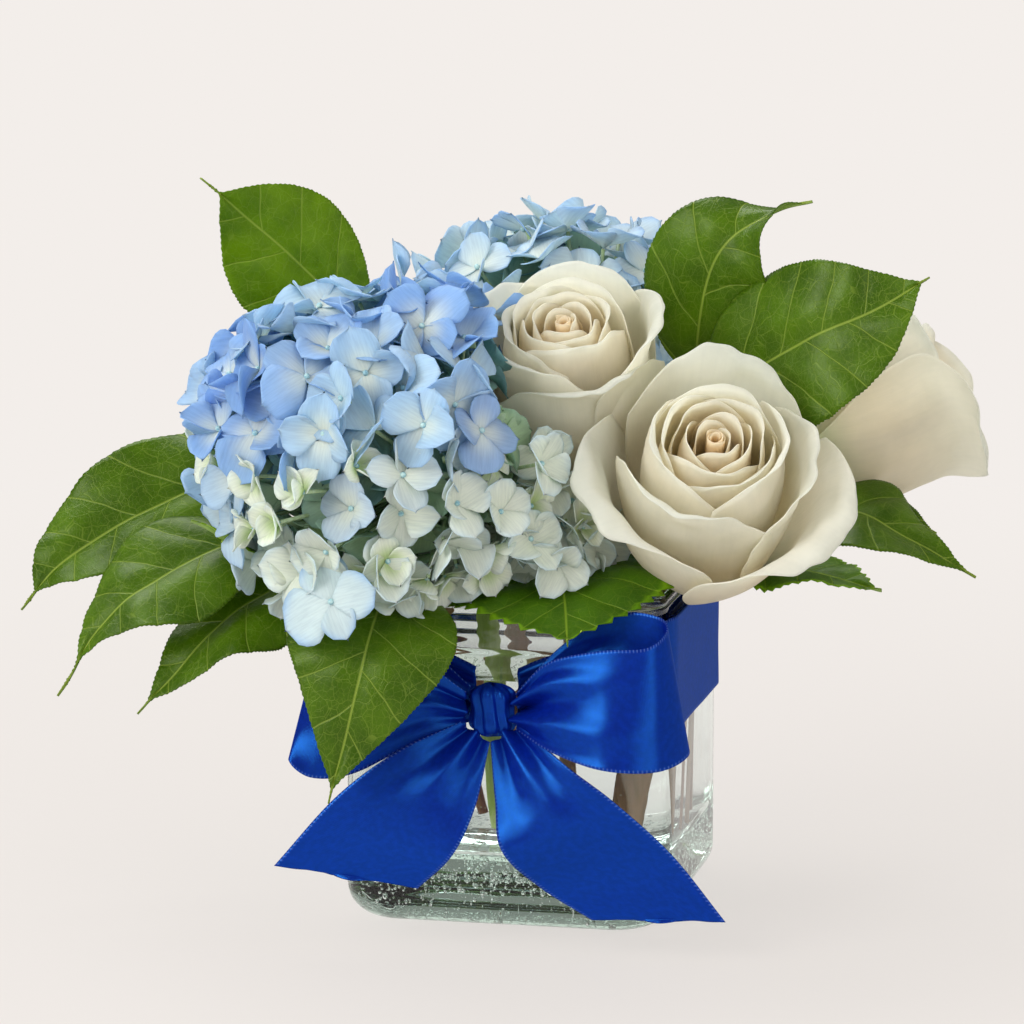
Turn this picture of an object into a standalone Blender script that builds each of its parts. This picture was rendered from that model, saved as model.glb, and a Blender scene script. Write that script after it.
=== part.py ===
"""Hydrangeas and roses in a square glass vase, tied with a satin bow.

Units are metres, +Z is up. The origin is on the floor under the middle of the vase, the vase's faces lie along X and Y,
and the bow is on the -Y side. Flowers, leaves and ribbon are placed in millimetres and scaled by MM.
"""

import math

import bmesh
import bpy
from mathutils import Matrix, Vector

MM = 0.001
UP = Vector((0, 0, 1))

# Driving dimensions
VASE_WIDTH = 0.1016
VASE_HEIGHT = 0.103
VASE_WALL = 0.0048
VASE_FLOOR = 0.021
VASE_CORNER = 0.017
VASE_FOOT_ROUND = 0.010
NECK_LEDGE = 0.087
NECK_INSET = 0.0016
NECK_RIDGES = 3
NECK_RIDGE_DEPTH = 0.0008
WATER_LEVEL = 0.076
GAP = 0.0004
RIBBON_WIDTH = 0.038
RIBBON_THICKNESS = 0.0007
LEAF_THICKNESS = 0.0007
PETAL_THICKNESS = 0.0008
STEM_FOOT_HEIGHT = VASE_FLOOR + 0.003
STEM_NECK_HEIGHT = 0.099
STEM_TWIST = math.radians(-20)
STEM_GATHER = 0.8
STEM_SHIFT = Vector((0.006, 0.0))

MATERIALS = {
    "glass": ((0.80, 0.90, 0.88, 0.35), 0.03),
    "water": ((0.88, 0.93, 0.93, 0.30), 0.02),
    "ribbon": ((0.01, 0.06, 0.55, 1.0), 0.35),
    "hydrangea": ((0.42, 0.60, 0.85, 1.0), 0.60),
    "rose": ((0.90, 0.82, 0.68, 1.0), 0.55),
    "leaf": ((0.10, 0.28, 0.06, 1.0), 0.40),
    "stem": ((0.35, 0.45, 0.15, 1.0), 0.50),
}


# ---------------------------------------------------------------- scene and helpers

def clear_scene():
    for thing in list(bpy.data.objects):
        bpy.data.objects.remove(thing)


def new_collection(name):
    collection = bpy.data.collections.new(name)
    bpy.context.scene.collection.children.link(collection)
    return collection


def make_materials():
    made = {}
    for name, (colour, roughness) in MATERIALS.items():
        material = bpy.data.materials.new(name)
        material.use_nodes = True
        shader = material.node_tree.nodes["Principled BSDF"]
        shader.inputs["Base Color"].default_value = colour
        shader.inputs["Roughness"].default_value = roughness
        shader.inputs["Metallic"].default_value = 0.0
        made[name] = material
    return made


def add_object(name, mesh, material, collection=None):
    thing = bpy.data.objects.new(name, mesh)
    if material:
        mesh.materials.append(materials[material])
    (collection or parts).objects.link(thing)
    return thing


def mm(x, y, z):
    """A point given in millimetres."""
    return Vector((x, y, z)) * MM


def curve_points(knots, steps):
    """A smooth curve (Catmull-Rom) through the knots, with `steps` stretches between each two."""
    ends = [2 * knots[0] - knots[1], *knots, 2 * knots[-1] - knots[-2]]
    points = []
    for i in range(1, len(ends) - 2):
        before, start, end, after = ends[i - 1:i + 3]
        for k in range(steps):
            t = k / steps
            points.append(0.5 * (2 * start + (end - before) * t
                                 + (2 * before - 5 * start + 4 * end - after) * t ** 2
                                 + (3 * start - before - 3 * end + after) * t ** 3))
    return points + [knots[-1]]


def blend(values, u):
    """The value at u (0 to 1) on a smooth curve through evenly spaced numbers or vectors."""
    place = min(max(u, 0.0), 1.0) * (len(values) - 1)
    i = min(int(place), len(values) - 2)
    t = place - i
    before = values[i - 1] if i > 0 else 2 * values[0] - values[1]
    after = values[i + 2] if i + 2 < len(values) else 2 * values[-1] - values[-2]
    start, end = values[i], values[i + 1]
    return 0.5 * (2 * start + (end - before) * t + (2 * before - 5 * start + 4 * end - after) * t ** 2
                  + (3 * start - before - 3 * end + after) * t ** 3)


def sheet(name, shape, across, along, thickness, material, collection=None):
    """A thin piece: a grid shaped by shape(u, v), u from 0 to 1 and v from -1 to 1, then thickened."""
    bm = bmesh.new()
    bmesh.ops.create_grid(bm, x_segments=along, y_segments=across, size=0.5)
    for vert in bm.verts:
        vert.co = shape(vert.co.x + 0.5, vert.co.y * 2)
    mesh = bpy.data.meshes.new(name)
    bm.to_mesh(mesh)
    bm.free()
    mesh.shade_smooth()
    thing = add_object(name, mesh, material, collection)
    shell = thing.modifiers.new("Thickness", "SOLIDIFY")
    shell.thickness = thickness
    shell.offset = 0
    return thing


def loft(name, rings, material, collection=None):
    """A closed body through rings of equal point count, with a flat face on the first and the last."""
    bm = bmesh.new()
    rows = [[bm.verts.new(point) for point in ring] for ring in rings]
    count = len(rows[0])
    for lower, upper in zip(rows, rows[1:]):
        for i in range(count):
            j = (i + 1) % count
            bm.faces.new((lower[i], lower[j], upper[j], upper[i]))
    bm.faces.new(rows[0][::-1])
    bm.faces.new(rows[-1])
    mesh = bpy.data.meshes.new(name)
    bm.to_mesh(mesh)
    bm.free()
    mesh.shade_smooth()
    mesh.set_sharp_from_angle(angle=math.radians(50))
    return add_object(name, mesh, material, collection)


def tube(name, points, radii, material, collection=None):
    """A curve object with a bevel, filled caps and a radius of its own at each point."""
    curve = bpy.data.curves.new(name, "CURVE")
    curve.dimensions = "3D"
    curve.bevel_depth = 1.0
    curve.bevel_resolution = 2
    curve.use_fill_caps = True
    curve.render_resolution_u = 0
    spline = curve.splines.new("POLY")
    spline.points.add(len(points) - 1)
    for knot, point, radius in zip(spline.points, points, radii):
        knot.co = (*point, 1.0)
        knot.radius = radius
    if material:
        curve.materials.append(materials[material])
    thing = bpy.data.objects.new(name, curve)
    (collection or parts).objects.link(thing)
    return thing


def tube_cutter(name, points, radii):
    """A tube made into a closed mesh that can cut other pieces."""
    source = tube(name + "_curve", points, radii, None, cutters)
    graph = bpy.context.evaluated_depsgraph_get()
    mesh = bpy.data.meshes.new_from_object(source.evaluated_get(graph))
    bm = bmesh.new()
    bm.from_mesh(mesh)
    bmesh.ops.remove_doubles(bm, verts=bm.verts, dist=0.00001)
    bmesh.ops.recalc_face_normals(bm, faces=bm.faces)
    bm.to_mesh(mesh)
    bm.free()
    bpy.data.objects.remove(source)
    cutter = bpy.data.objects.new(name, mesh)
    cutters.objects.link(cutter)
    hide_cutter(cutter)
    return cutter


def hide_cutter(cutter):
    cutter.hide_render = True
    cutter.display_type = "WIRE"


def cut(thing, cutter):
    boolean = thing.modifiers.new("Cut_" + cutter.name, "BOOLEAN")
    boolean.operation = "DIFFERENCE"
    boolean.solver = "EXACT"
    boolean.object = cutter


# ---------------------------------------------------------------- vase and water

def rounded_square(half_width, corner, height, corner_steps=4):
    """Points round a square with round corners, counter-clockwise from above."""
    points = []
    for quarter in range(4):
        turn = Matrix.Rotation(math.radians(90 * quarter), 3, "Z")
        for step in range(corner_steps + 1):
            angle = math.radians(90 * step / corner_steps)
            x = half_width - corner + corner * math.cos(angle)
            y = half_width - corner + corner * math.sin(angle)
            points.append(turn @ Vector((x, y, height)))
    return points


def vase_rings():
    """The vase's skin from the middle of the foot, up the outside, over the lip and down to the inner floor."""
    half = VASE_WIDTH / 2
    rings = []
    for step in range(4):
        angle = math.radians(90 * step / 3)
        inset = VASE_FOOT_ROUND * (1 - math.sin(angle))
        height = VASE_FOOT_ROUND * (1 - math.cos(angle))
        rings.append(rounded_square(half - inset, VASE_CORNER - inset * 0.8, height))
    rings.append(rounded_square(half, VASE_CORNER, NECK_LEDGE - 0.002))
    neck = half - NECK_INSET
    ridge_pitch = (VASE_HEIGHT - 0.003 - NECK_LEDGE) / NECK_RIDGES
    for ridge in range(NECK_RIDGES):
        low = NECK_LEDGE + ridge * ridge_pitch
        groove = neck - NECK_RIDGE_DEPTH
        rings.append(rounded_square(groove, VASE_CORNER - 0.002, low))
        rings.append(rounded_square(neck, VASE_CORNER - 0.001, low + ridge_pitch * 0.5))
    rings.append(rounded_square(neck, VASE_CORNER - 0.001, VASE_HEIGHT - 0.0015))
    rings.append(rounded_square(neck - 0.0012, VASE_CORNER - 0.002, VASE_HEIGHT))
    inner = half - VASE_WALL
    rings.append(rounded_square(inner + 0.001, VASE_CORNER - 0.004, VASE_HEIGHT))
    rings.append(rounded_square(inner, VASE_CORNER - VASE_WALL, VASE_HEIGHT - 0.0015))
    rings.append(rounded_square(inner, VASE_CORNER - VASE_WALL, VASE_FLOOR + 0.008))
    rings.append(rounded_square(inner - 0.0025, VASE_CORNER - VASE_WALL - 0.002, VASE_FLOOR + 0.0022))
    rings.append(rounded_square(inner - 0.009, VASE_CORNER - VASE_WALL - 0.006, VASE_FLOOR))
    return rings


def build_vase():
    loft("vase", vase_rings(), "glass")


def build_water(stem_cutters):
    inner = VASE_WIDTH / 2 - VASE_WALL - GAP
    corner = VASE_CORNER - VASE_WALL - GAP
    rings = [
        rounded_square(inner - 0.009, corner - 0.006, VASE_FLOOR + GAP),
        rounded_square(inner - 0.0025, corner - 0.002, VASE_FLOOR + 0.0022 + GAP),
        rounded_square(inner, corner, VASE_FLOOR + 0.008 + GAP),
        rounded_square(inner, corner, WATER_LEVEL),
    ]
    water = loft("water", rings, "water")
    for cutter in stem_cutters:
        cut(water, cutter)


# ---------------------------------------------------------------- stems

def stem_foot(neck):
    """Where a stem stands on the vase's floor: the stems lean the same way round, so none meets another."""
    turned = Matrix.Rotation(STEM_TWIST, 2) @ Vector((neck.x, neck.y)) * STEM_GATHER + STEM_SHIFT
    return Vector((turned.x, turned.y, STEM_FOOT_HEIGHT))


def stem_route(neck_x, neck_y, above):
    neck = Vector((neck_x * MM, neck_y * MM, STEM_NECK_HEIGHT))
    foot = stem_foot(neck)
    middle = foot.lerp(neck, 0.55)
    return curve_points([foot, middle, neck, *above], 3)


def build_stem(name, route, radius, swell=None):
    """A stem along its route; swell gives the radii of the last few points, such as a rose's hip."""
    radii = [radius] * len(route)
    if swell:
        radii[-len(swell):] = swell
    tube(name, route, radii, "stem")
    below = route[0] - UP * GAP * 2
    beyond = route[-1] + (route[-1] - route[-2]).normalized() * GAP * 2
    return tube_cutter(name + "_room", [below, *route[1:-1], beyond], [r + GAP for r in radii])


# ---------------------------------------------------------------- hydrangea heads

def spread_directions(count):
    """Evenly spread directions on a sphere, along a golden spiral."""
    golden = math.pi * (3 - math.sqrt(5))
    for i in range(count):
        z = 1 - (2 * i + 1) / count
        ring = math.sqrt(1 - z * z)
        yield Vector((ring * math.cos(golden * i), ring * math.sin(golden * i), z))


def build_head(name, centre, axis, radius, florets, underside, room):
    """A mophead: a ball of florets, drawn in round its stem, less the room that its neighbours take."""
    axis = axis.normalized()
    centres = list(spread_directions(florets))
    bm = bmesh.new()
    bmesh.ops.create_icosphere(bm, subdivisions=4, radius=1.0)
    for vert in bm.verts:
        direction = vert.co.normalized()
        nearest = max(direction.dot(c) for c in centres)
        floret_reach = 2.1 / math.sqrt(florets)
        bump = 0.06 * math.cos(min(math.acos(min(nearest, 1.0)) / floret_reach, 1.0) * math.pi / 2)
        under = max(0.0, -direction.dot(axis) - 0.15) / 0.85
        vert.co = centre + direction * radius * (0.94 + bump - (1 - underside) * math.sin(under * math.pi / 2))
    mesh = bpy.data.meshes.new(name)
    bm.to_mesh(mesh)
    bm.free()
    mesh.shade_smooth()
    head = add_object(name, mesh, "hydrangea")
    for cutter in room:
        cut(head, cutter)
    return head


def egg(name, centre, axis, across, along, material, collection):
    """A ball stretched along an axis."""
    bm = bmesh.new()
    bmesh.ops.create_icosphere(bm, subdivisions=3, radius=1.0)
    turn = axis.to_track_quat("Z", "Y").to_matrix()
    for vert in bm.verts:
        vert.co = centre + turn @ Vector((vert.co.x * across, vert.co.y * across, vert.co.z * along))
    mesh = bpy.data.meshes.new(name)
    bm.to_mesh(mesh)
    bm.free()
    mesh.shade_smooth()
    return add_object(name, mesh, material, collection)


# ---------------------------------------------------------------- roses

HEART_RADII = (0.20, 0.47, 0.79, 0.95, 0.93, 0.80, 0.55, 0.30)
HEART_HEIGHTS = (0.0, 0.14, 0.34, 0.54, 0.74, 0.90, 0.97, 0.93)


def build_rose_heart(name, frame, radius, height):
    """The rolled inner petals as one turned body."""
    bm = bmesh.new()
    outline = [bm.verts.new((r * radius, 0, h * height)) for r, h in zip(HEART_RADII, HEART_HEIGHTS)]
    outline.insert(0, bm.verts.new((0, 0, 0)))
    outline.append(bm.verts.new((0, 0, HEART_HEIGHTS[-1] * height)))
    outline.reverse()
    for a, b in zip(outline, outline[1:]):
        bm.edges.new((a, b))
    mesh = bpy.data.meshes.new(name)
    bm.to_mesh(mesh)
    bm.free()
    heart = add_object(name, mesh, "rose")
    heart.matrix_world = frame
    turned = heart.modifiers.new("Turn", "SCREW")
    turned.steps = 18
    turned.render_steps = 18
    turned.use_merge_vertices = True
    turned.merge_threshold = 0.00001
    return heart


def petal_shape(frame, radius, height, layer, flare, turn):
    """One outer petal: a cup round the heart, further out for each layer, whose rim rolls outward."""
    inner = radius * 0.22 + (0.9 + 1.35 * layer) * MM
    outer = radius + (1.4 + 1.9 * layer) * MM
    half_angle = math.radians(66)

    def shape(u, v):
        s = u * (1 - 0.10 * v * v)
        rise = math.sin(min(s / 0.62, 1.0) * math.pi / 2)
        roll = max(0.0, (s - 0.60) / 0.40)
        r = inner + (outer - inner) * rise + flare * roll ** 2
        z = 0.6 * MM + height * (0.92 * s + 0.10 * s * s) - flare * 0.55 * roll ** 3
        spread = half_angle * (0.55 + 0.45 * math.sin(min(s / 0.55, 1.0) * math.pi / 2) - 0.25 * roll ** 2)
        angle = turn + v * spread
        return frame @ Vector((r * math.cos(angle), r * math.sin(angle), z))

    return shape


def flower_frame(base, axis):
    """A frame on a flower's base: +Z along its axis, +X level, +Y on its upper side."""
    ahead = axis.normalized()
    level = UP.cross(ahead).normalized()
    upper = ahead.cross(level)
    turn = Matrix((level, upper, ahead)).transposed()
    return Matrix.Translation(base) @ turn.to_4x4()


def build_rose(name, base, axis, radius, height, flares, turns):
    """A rose: heart and outer petals, standing on `base` and facing along `axis`."""
    frame = flower_frame(base, axis)
    build_rose_heart(name + "_heart", frame, radius, height)
    for layer, (flare, turn) in enumerate(zip(flares, turns)):
        shape = petal_shape(frame, radius, height, layer, flare * MM, math.radians(turn))
        sheet(f"{name}_petal_{layer + 1}", shape, 5, 7, PETAL_THICKNESS, "rose")


# ---------------------------------------------------------------- leaves

def leaf_shape(base, middle, tip, face, half_width, stalk=0.12, fold=0.18, droop=0.25):
    """A leaf blade on its stalk: pointed oval, folded a little along the midrib, tapering to a drip tip."""
    bend = 2 * middle - (base + tip) / 2

    def shape(u, v):
        spine = base * (1 - u) ** 2 + bend * 2 * u * (1 - u) + tip * u * u
        along = ((bend - base) * (1 - u) + (tip - bend) * u).normalized()
        normal = (face - along * face.dot(along)).normalized()
        side = along.cross(normal)
        blade = min(max((u - stalk) / (1 - stalk), 0.0), 1.0)
        width = half_width * math.sin(math.pi * blade ** 0.80) ** 0.85 + 0.9 * MM * (1 - 0.5 * blade)
        edge = v * width
        return spine + side * edge + normal * (abs(edge) * fold - droop * edge * edge / half_width)

    return shape


def build_leaf(name, base, middle, tip, face, half_width):
    shape = leaf_shape(mm(*base), mm(*middle), mm(*tip), Vector(face).normalized(), half_width * MM)
    sheet(name, shape, 4, 8, LEAF_THICKNESS, "leaf")


def leaf_room(name, base, middle, tip, face, half_width):
    """A cutter round a leaf that lies against a flower head."""
    shape = leaf_shape(mm(*base), mm(*middle), mm(*tip), Vector(face).normalized(), (half_width + 1) * MM)
    room = sheet(name + "_room", shape, 4, 8, LEAF_THICKNESS + 4 * GAP, None, cutters)
    hide_cutter(room)
    return room


# ---------------------------------------------------------------- ribbon

def strip_shape(centres, halves):
    """A strip of ribbon between two edges: centre points and half-width vectors, evenly spaced along it."""
    def shape(u, v):
        return blend(centres, u) + blend(halves, u) * v
    return shape


def build_strip(name, stations, segments):
    """Stations are (centre, half-width vector) in millimetres."""
    centres = [mm(*centre) for centre, half in stations]
    halves = [mm(*half) for centre, half in stations]
    sheet(name, strip_shape(centres, halves), 1, segments, RIBBON_THICKNESS, "ribbon")


def band_shape():
    """The band: round the vase from one side of the knot to the other, gathered towards the knot."""
    reach = VASE_WIDTH / 2 + RIBBON_THICKNESS + GAP
    corner = VASE_CORNER + RIBBON_THICKNESS + GAP
    straight = reach - corner
    side = 2 * straight
    arc = corner * math.pi / 2
    total = 4 * (side + arc)
    start = 7 * MM

    def place(distance):
        """A point on the rounded square, measured counter-clockwise from the middle of the front."""
        distance = (distance + straight) % total
        quarter = int(distance // (side + arc))
        rest = distance - quarter * (side + arc)
        turn = Matrix.Rotation(math.radians(90 * quarter), 3, "Z")
        if rest <= side:
            return turn @ Vector((rest - straight, -reach, 0))
        angle = (rest - side) / corner
        return turn @ Vector((straight + corner * math.sin(angle), -straight - corner * math.cos(angle), 0))

    def shape(u, v):
        point = place(start + (total - 2 * start) * u)
        from_knot = min(u, 1 - u) * total
        open_out = min(from_knot / (55 * MM), 1.0) ** 0.8
        half = RIBBON_WIDTH / 2 * (0.32 + 0.62 * open_out)
        height = (72 + 7.5 * math.sin(open_out * math.pi / 2)) * MM
        return point + UP * (height + half * v)

    return shape


def build_ribbon():
    sheet("ribbon_band", band_shape(), 1, 44, RIBBON_THICKNESS, "ribbon")
    egg("ribbon_knot", mm(0.5, -62, 71.5), UP, 6.6 * MM, 7.2 * MM, "ribbon", parts)
    build_strip("ribbon_right_loop", [
        ((9.5, -63.5, 71.5), (0, 0, 5.5)),
        ((22, -71, 76.5), (-1, 0, 15)),
        ((38, -75, 79), (-1, 0, 18.5)),
        ((52, -73, 79), (-2.5, 0, 18.8)),
        ((58, -66, 80), (-3.5, 0, 18.6)),
        ((53, -59.5, 82), (-2, 0, 18)),
        ((38, -57, 82), (0, 0, 17)),
        ((22, -56.6, 78), (0, 0, 13)),
        ((9.5, -57.5, 72), (0, 0, 5.5)),
    ], 24)
    build_strip("ribbon_left_loop", [
        ((-8.5, -63.5, 71.5), (0, 0, 5.5)),
        ((-20, -68, 74), (0, 0, 11)),
        ((-38, -70.5, 70), (2, 0, 18)),
        ((-52, -68.5, 67), (5, 0, 17.5)),
        ((-58, -63.5, 66), (6, 0, 17)),
        ((-53, -59, 69), (4, 0, 17.5)),
        ((-38, -57, 73), (0, 0, 17)),
        ((-20, -56.6, 75), (0, 0, 12)),
        ((-8.5, -57.5, 72), (0, 0, 5.5)),
    ], 24)
    build_strip("ribbon_left_tail", [
        ((-6.5, -66, 61), (-5.5, 0, 3.5)),
        ((-15, -74, 51), (-12, 0, 8)),
        ((-25, -75, 40), (-17, 0, 9)),
        ((-41, -77, 21.5), (-21.5, -1, 2.6)),
    ], 8)
    build_strip("ribbon_right_tail", [
        ((7, -65, 61), (5.5, 0, 3.5)),
        ((16, -73, 50), (13, -2, 7)),
        ((28, -74, 34), (18, 0, 7)),
        ((54, -74, 12), (20.5, -1, 1)),
    ], 10)


# ---------------------------------------------------------------- arrangement

FRONT_HEAD = mm(-36, -42, 155)
FRONT_HEAD_AXIS = Vector((-0.45, -0.55, 0.70)).normalized()
FRONT_HEAD_RADIUS = 64 * MM
BACK_HEAD = mm(8, 57, 167)
BACK_HEAD_AXIS = Vector((0.10, 0.45, 0.88)).normalized()
BACK_HEAD_RADIUS = 56 * MM

# Each rose: name, base of the flower, top of the heart, heart radius, how far each outer petal's rim rolls out
# (all in millimetres), and where each outer petal stands round the axis (degrees from the frame's +X)
ROSES = (
    ("rose_front", (55, -14, 114), (68, -59, 158), 21, (3, 5, 7, 8, 14), (75, 215, 345, 185, 285)),
    ("rose_middle", (14, 1, 139), (15, -28, 187), 19, (2, 3, 4, 5, 5), (90, 230, 340, 160, 290)),
    ("rose_right", (80, 28, 139), (121, 55, 160), 17, (2, 3, 5, 8, 11), (30, 260, 120, 330, 195)),
)
HEART_SHARE = 0.97
HIP_LENGTH = 7 * MM

# Each leaf: name, stalk end, middle, tip, upper face's direction, half width (millimetres)
LEAVES = (
    ("leaf_upper_left", (-51, 32, 161), (-86, 9, 199), (-104, -8, 223), (0.25, -0.9, 0.35), 20),
    ("leaf_left_small", (-52, 28, 146), (-86, 17, 166), (-103, 8, 152), (-0.2, -0.8, 0.6), 14),
    ("leaf_far_left", (-50, 24, 128), (-122, -12, 118), (-155, -34, 92), (-0.25, -0.55, 0.8), 22),
    ("leaf_left", (-60, -7, 116), (-104, -46, 106), (-134, -65, 71), (-0.3, -0.6, 0.7), 20),
    ("leaf_left_low", (-57, -14, 111), (-87, -44, 90), (-111, -58, 64), (-0.45, -0.6, 0.65), 18),
    ("leaf_front_left", (-32, -46, 110), (-34, -86, 87), (-43, -89, 47), (0.05, -0.95, 0.3), 25),
    ("leaf_upper_right", (49, 17, 154), (52, 1, 196), (86, 2, 219), (0.15, -0.9, 0.3), 20),
    ("leaf_right", (54, 12, 145), (90, -20, 181), (125, -17, 199), (0.1, -0.9, 0.45), 25),
    ("leaf_lower_right", (78, 14, 121), (108, 2, 120), (138, 0, 106), (0.1, -0.35, 0.9), 17),
    ("leaf_right_small", (79, 20, 122), (100, 30, 122), (122, 26, 114), (0.1, -0.4, 0.9), 8),
    ("hydrangea_leaf_front", (8, -10, 106), (17, -47, 108.5), (26, -73, 95), (0, -0.3, 0.95), 32),
    ("hydrangea_leaf_right", (53, -2, 105.5), (86, -22, 109.5), (114, -34, 108), (0.1, -0.2, 1), 14),
    ("hydrangea_leaf_left", (-37, -33, 106), (-67, -53, 109), (-93, -61, 125), (0.2, 0.3, 1), 11),
    ("hydrangea_leaf_back_left", (-8, 24, 106), (-34, 64, 112), (-54, 88, 96), (-0.2, 0.5, 0.9), 26),
    ("hydrangea_leaf_back_right", (18, 38, 107), (46, 66, 114), (72, 88, 98), (0.2, 0.5, 0.9), 26),
)


TUCKED_LEAVES = ("hydrangea_leaf_left",)


def build_flower_stems():
    """The flower stems; returns the cutters that keep their room in the water and in the heads."""
    front_end = FRONT_HEAD - FRONT_HEAD_AXIS * 24 * MM
    back_end = BACK_HEAD - BACK_HEAD_AXIS * 24 * MM
    front = build_stem("hydrangea_front_stem", stem_route(-14, -8, [mm(-17, -16, 122), front_end]), 3.4 * MM)
    back = build_stem("hydrangea_back_stem", stem_route(-10, 12, [mm(-4, 24, 122), back_end]), 3.2 * MM)
    hip = [2.8 * MM, 3.6 * MM, 5.6 * MM]
    bends = (
        (36, -8, [(44, -2, 107.5)]),
        (12, 0, [(13, 7, 118)]),
        (40, 14, [(53, 17, 119)]),
    )
    room = [front, back]
    for (neck_x, neck_y, bend), (name, base, top, *rest) in zip(bends, ROSES):
        axis = (mm(*top) - mm(*base)).normalized()
        above = [*(mm(*point) for point in bend), mm(*base) - axis * HIP_LENGTH]
        tip = [mm(*base) - axis * HIP_LENGTH / 2, mm(*base) - axis * GAP * 2]
        room.append(build_stem(name + "_stem", stem_route(neck_x, neck_y, above) + tip, 2.7 * MM, hip))
    return front, back, room


def build_foliage_stems():
    routes = (
        ("foliage_stem_back_left", -36, 17, [(-43, 25, 128), (-51, 33, 158)], 1.7),
        ("foliage_stem_left", -38, -6, [(-46, -9, 110), (-57, -9, 113)], 1.7),
        ("foliage_stem_front", -26, -30, [(-27, -36, 108)], 1.6),
        ("foliage_stem_back_right", 22, 30, [(35, 25, 124), (48, 20, 150)], 1.8),
        ("foliage_stem_right", 42, 3, [(53, 11, 109), (76, 15, 118)], 1.8),
    )
    return [build_stem(name, stem_route(x, y, [mm(*point) for point in above]), radius * MM)
            for name, x, y, above, radius in routes]


def build_roses():
    for name, base, top, radius, flares, turns in ROSES:
        axis = mm(*top) - mm(*base)
        build_rose(name, mm(*base), axis, radius * MM, axis.length * HEART_SHARE, flares, turns)


def build_heads(front_stem, back_stem):
    balls = []
    for name, base, top, radius, flares, turns in ROSES[:2]:
        axis = mm(*top) - mm(*base)
        across = radius + max(flares) + 18
        middle = mm(*base) + axis * 0.58
        ball = egg(name + "_room", middle, axis, across * MM, axis.length * 0.66, None, cutters)
        hide_cutter(ball)
        balls.append(ball)
    tucked = [leaf_room(*leaf) for leaf in LEAVES if leaf[0] in TUCKED_LEAVES]
    build_head("hydrangea_front_head", FRONT_HEAD, FRONT_HEAD_AXIS, FRONT_HEAD_RADIUS, 60, 0.62,
               [front_stem, *balls, *tucked])
    build_head("hydrangea_back_head", BACK_HEAD, BACK_HEAD_AXIS, BACK_HEAD_RADIUS, 54, 0.62,
               [back_stem, balls[1]])


def build_leaves():
    for leaf in LEAVES:
        build_leaf(*leaf)


clear_scene()
parts = new_collection("hydrangeas_in_a_vase")
cutters = new_collection("cutters")
materials = make_materials()
build_vase()
front_stem_room, back_stem_room, flower_room = build_flower_stems()
foliage_room = build_foliage_stems()
build_water(flower_room + foliage_room)
build_roses()
build_heads(front_stem_room, back_stem_room)
build_leaves()
build_ribbon()
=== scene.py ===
"""The looks of hydrangeas, roses and salal leaves in a square glass vase with a satin bow."""
import math

import bpy
import numpy as np
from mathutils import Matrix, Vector


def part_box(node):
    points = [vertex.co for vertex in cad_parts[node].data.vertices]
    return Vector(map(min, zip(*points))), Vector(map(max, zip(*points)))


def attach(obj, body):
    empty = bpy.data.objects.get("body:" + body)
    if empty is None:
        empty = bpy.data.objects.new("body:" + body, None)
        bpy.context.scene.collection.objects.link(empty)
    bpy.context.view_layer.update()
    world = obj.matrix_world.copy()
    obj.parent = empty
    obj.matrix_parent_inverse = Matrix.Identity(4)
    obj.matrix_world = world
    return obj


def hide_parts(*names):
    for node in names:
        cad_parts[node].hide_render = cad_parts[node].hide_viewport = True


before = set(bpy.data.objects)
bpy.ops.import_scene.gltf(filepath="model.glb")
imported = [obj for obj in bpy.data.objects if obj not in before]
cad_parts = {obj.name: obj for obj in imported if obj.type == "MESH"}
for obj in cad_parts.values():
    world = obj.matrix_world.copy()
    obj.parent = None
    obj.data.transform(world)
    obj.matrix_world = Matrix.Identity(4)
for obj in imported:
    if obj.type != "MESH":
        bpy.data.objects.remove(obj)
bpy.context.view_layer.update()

MM = 0.001
UP = np.array((0.0, 0.0, 1.0))
GOLDEN = math.pi * (3 - math.sqrt(5))

LEAF_THICKNESS = 0.42 * MM
RIBBON_THICKNESS = 0.35 * MM
INNER_PETAL_THICKNESS = 0.32 * MM
OUTER_PETAL_THICKNESS = 0.38 * MM
SEPAL_THICKNESS = 0.28 * MM


# ------------------------------------------------------------------ vectors and curves

def mm(*values):
    return np.array(values, dtype=float) * MM


def unit(vectors):
    vectors = np.asarray(vectors, dtype=float)
    return vectors / np.maximum(np.linalg.norm(vectors, axis=-1, keepdims=True), 1e-12)


def smooth(edge0, edge1, x):
    t = np.clip((x - edge0) / (edge1 - edge0), 0.0, 1.0)
    return t * t * (3 - 2 * t)


def through(knots, u):
    """Points at u (0 to 1) on a Catmull-Rom curve through evenly spaced knots."""
    knots = np.asarray(knots, dtype=float)
    if knots.ndim == 1:
        knots = knots[:, None]
    padded = np.vstack([2 * knots[0] - knots[1], knots, 2 * knots[-1] - knots[-2]])
    place = np.clip(np.atleast_1d(u), 0.0, 1.0) * (len(knots) - 1)
    i = np.minimum(place.astype(int), len(knots) - 2)
    t = (place - i)[:, None]
    a, b, c, d = (padded[i + k] for k in range(4))
    made = 0.5 * (2 * b + (c - a) * t + (2 * a - 5 * b + 4 * c - d) * t ** 2
                  + (3 * b - a - 3 * c + d) * t ** 3)
    return made[:, 0] if made.shape[1] == 1 else made


def ripple(points, scale, seed, octaves=2):
    """Smooth noise from sines, about -1 to 1, the same each run; scale is its longest wave."""
    source = np.random.default_rng(seed)
    total = np.zeros(points.shape[:-1])
    for octave in range(octaves):
        for _ in range(4):
            wave = unit(source.normal(size=3)) * (2 * math.pi / scale) * 1.8 ** octave
            total += np.sin(points @ wave + source.uniform(0, 2 * math.pi)) * 0.5 ** (octave + 1) * 0.5
    return total


def axes_of(axis):
    """Level, upper and ahead directions of a flower that faces along `axis`."""
    ahead = unit(axis)
    level = unit(np.cross(UP, ahead))
    return level, np.cross(ahead, level), ahead


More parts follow.
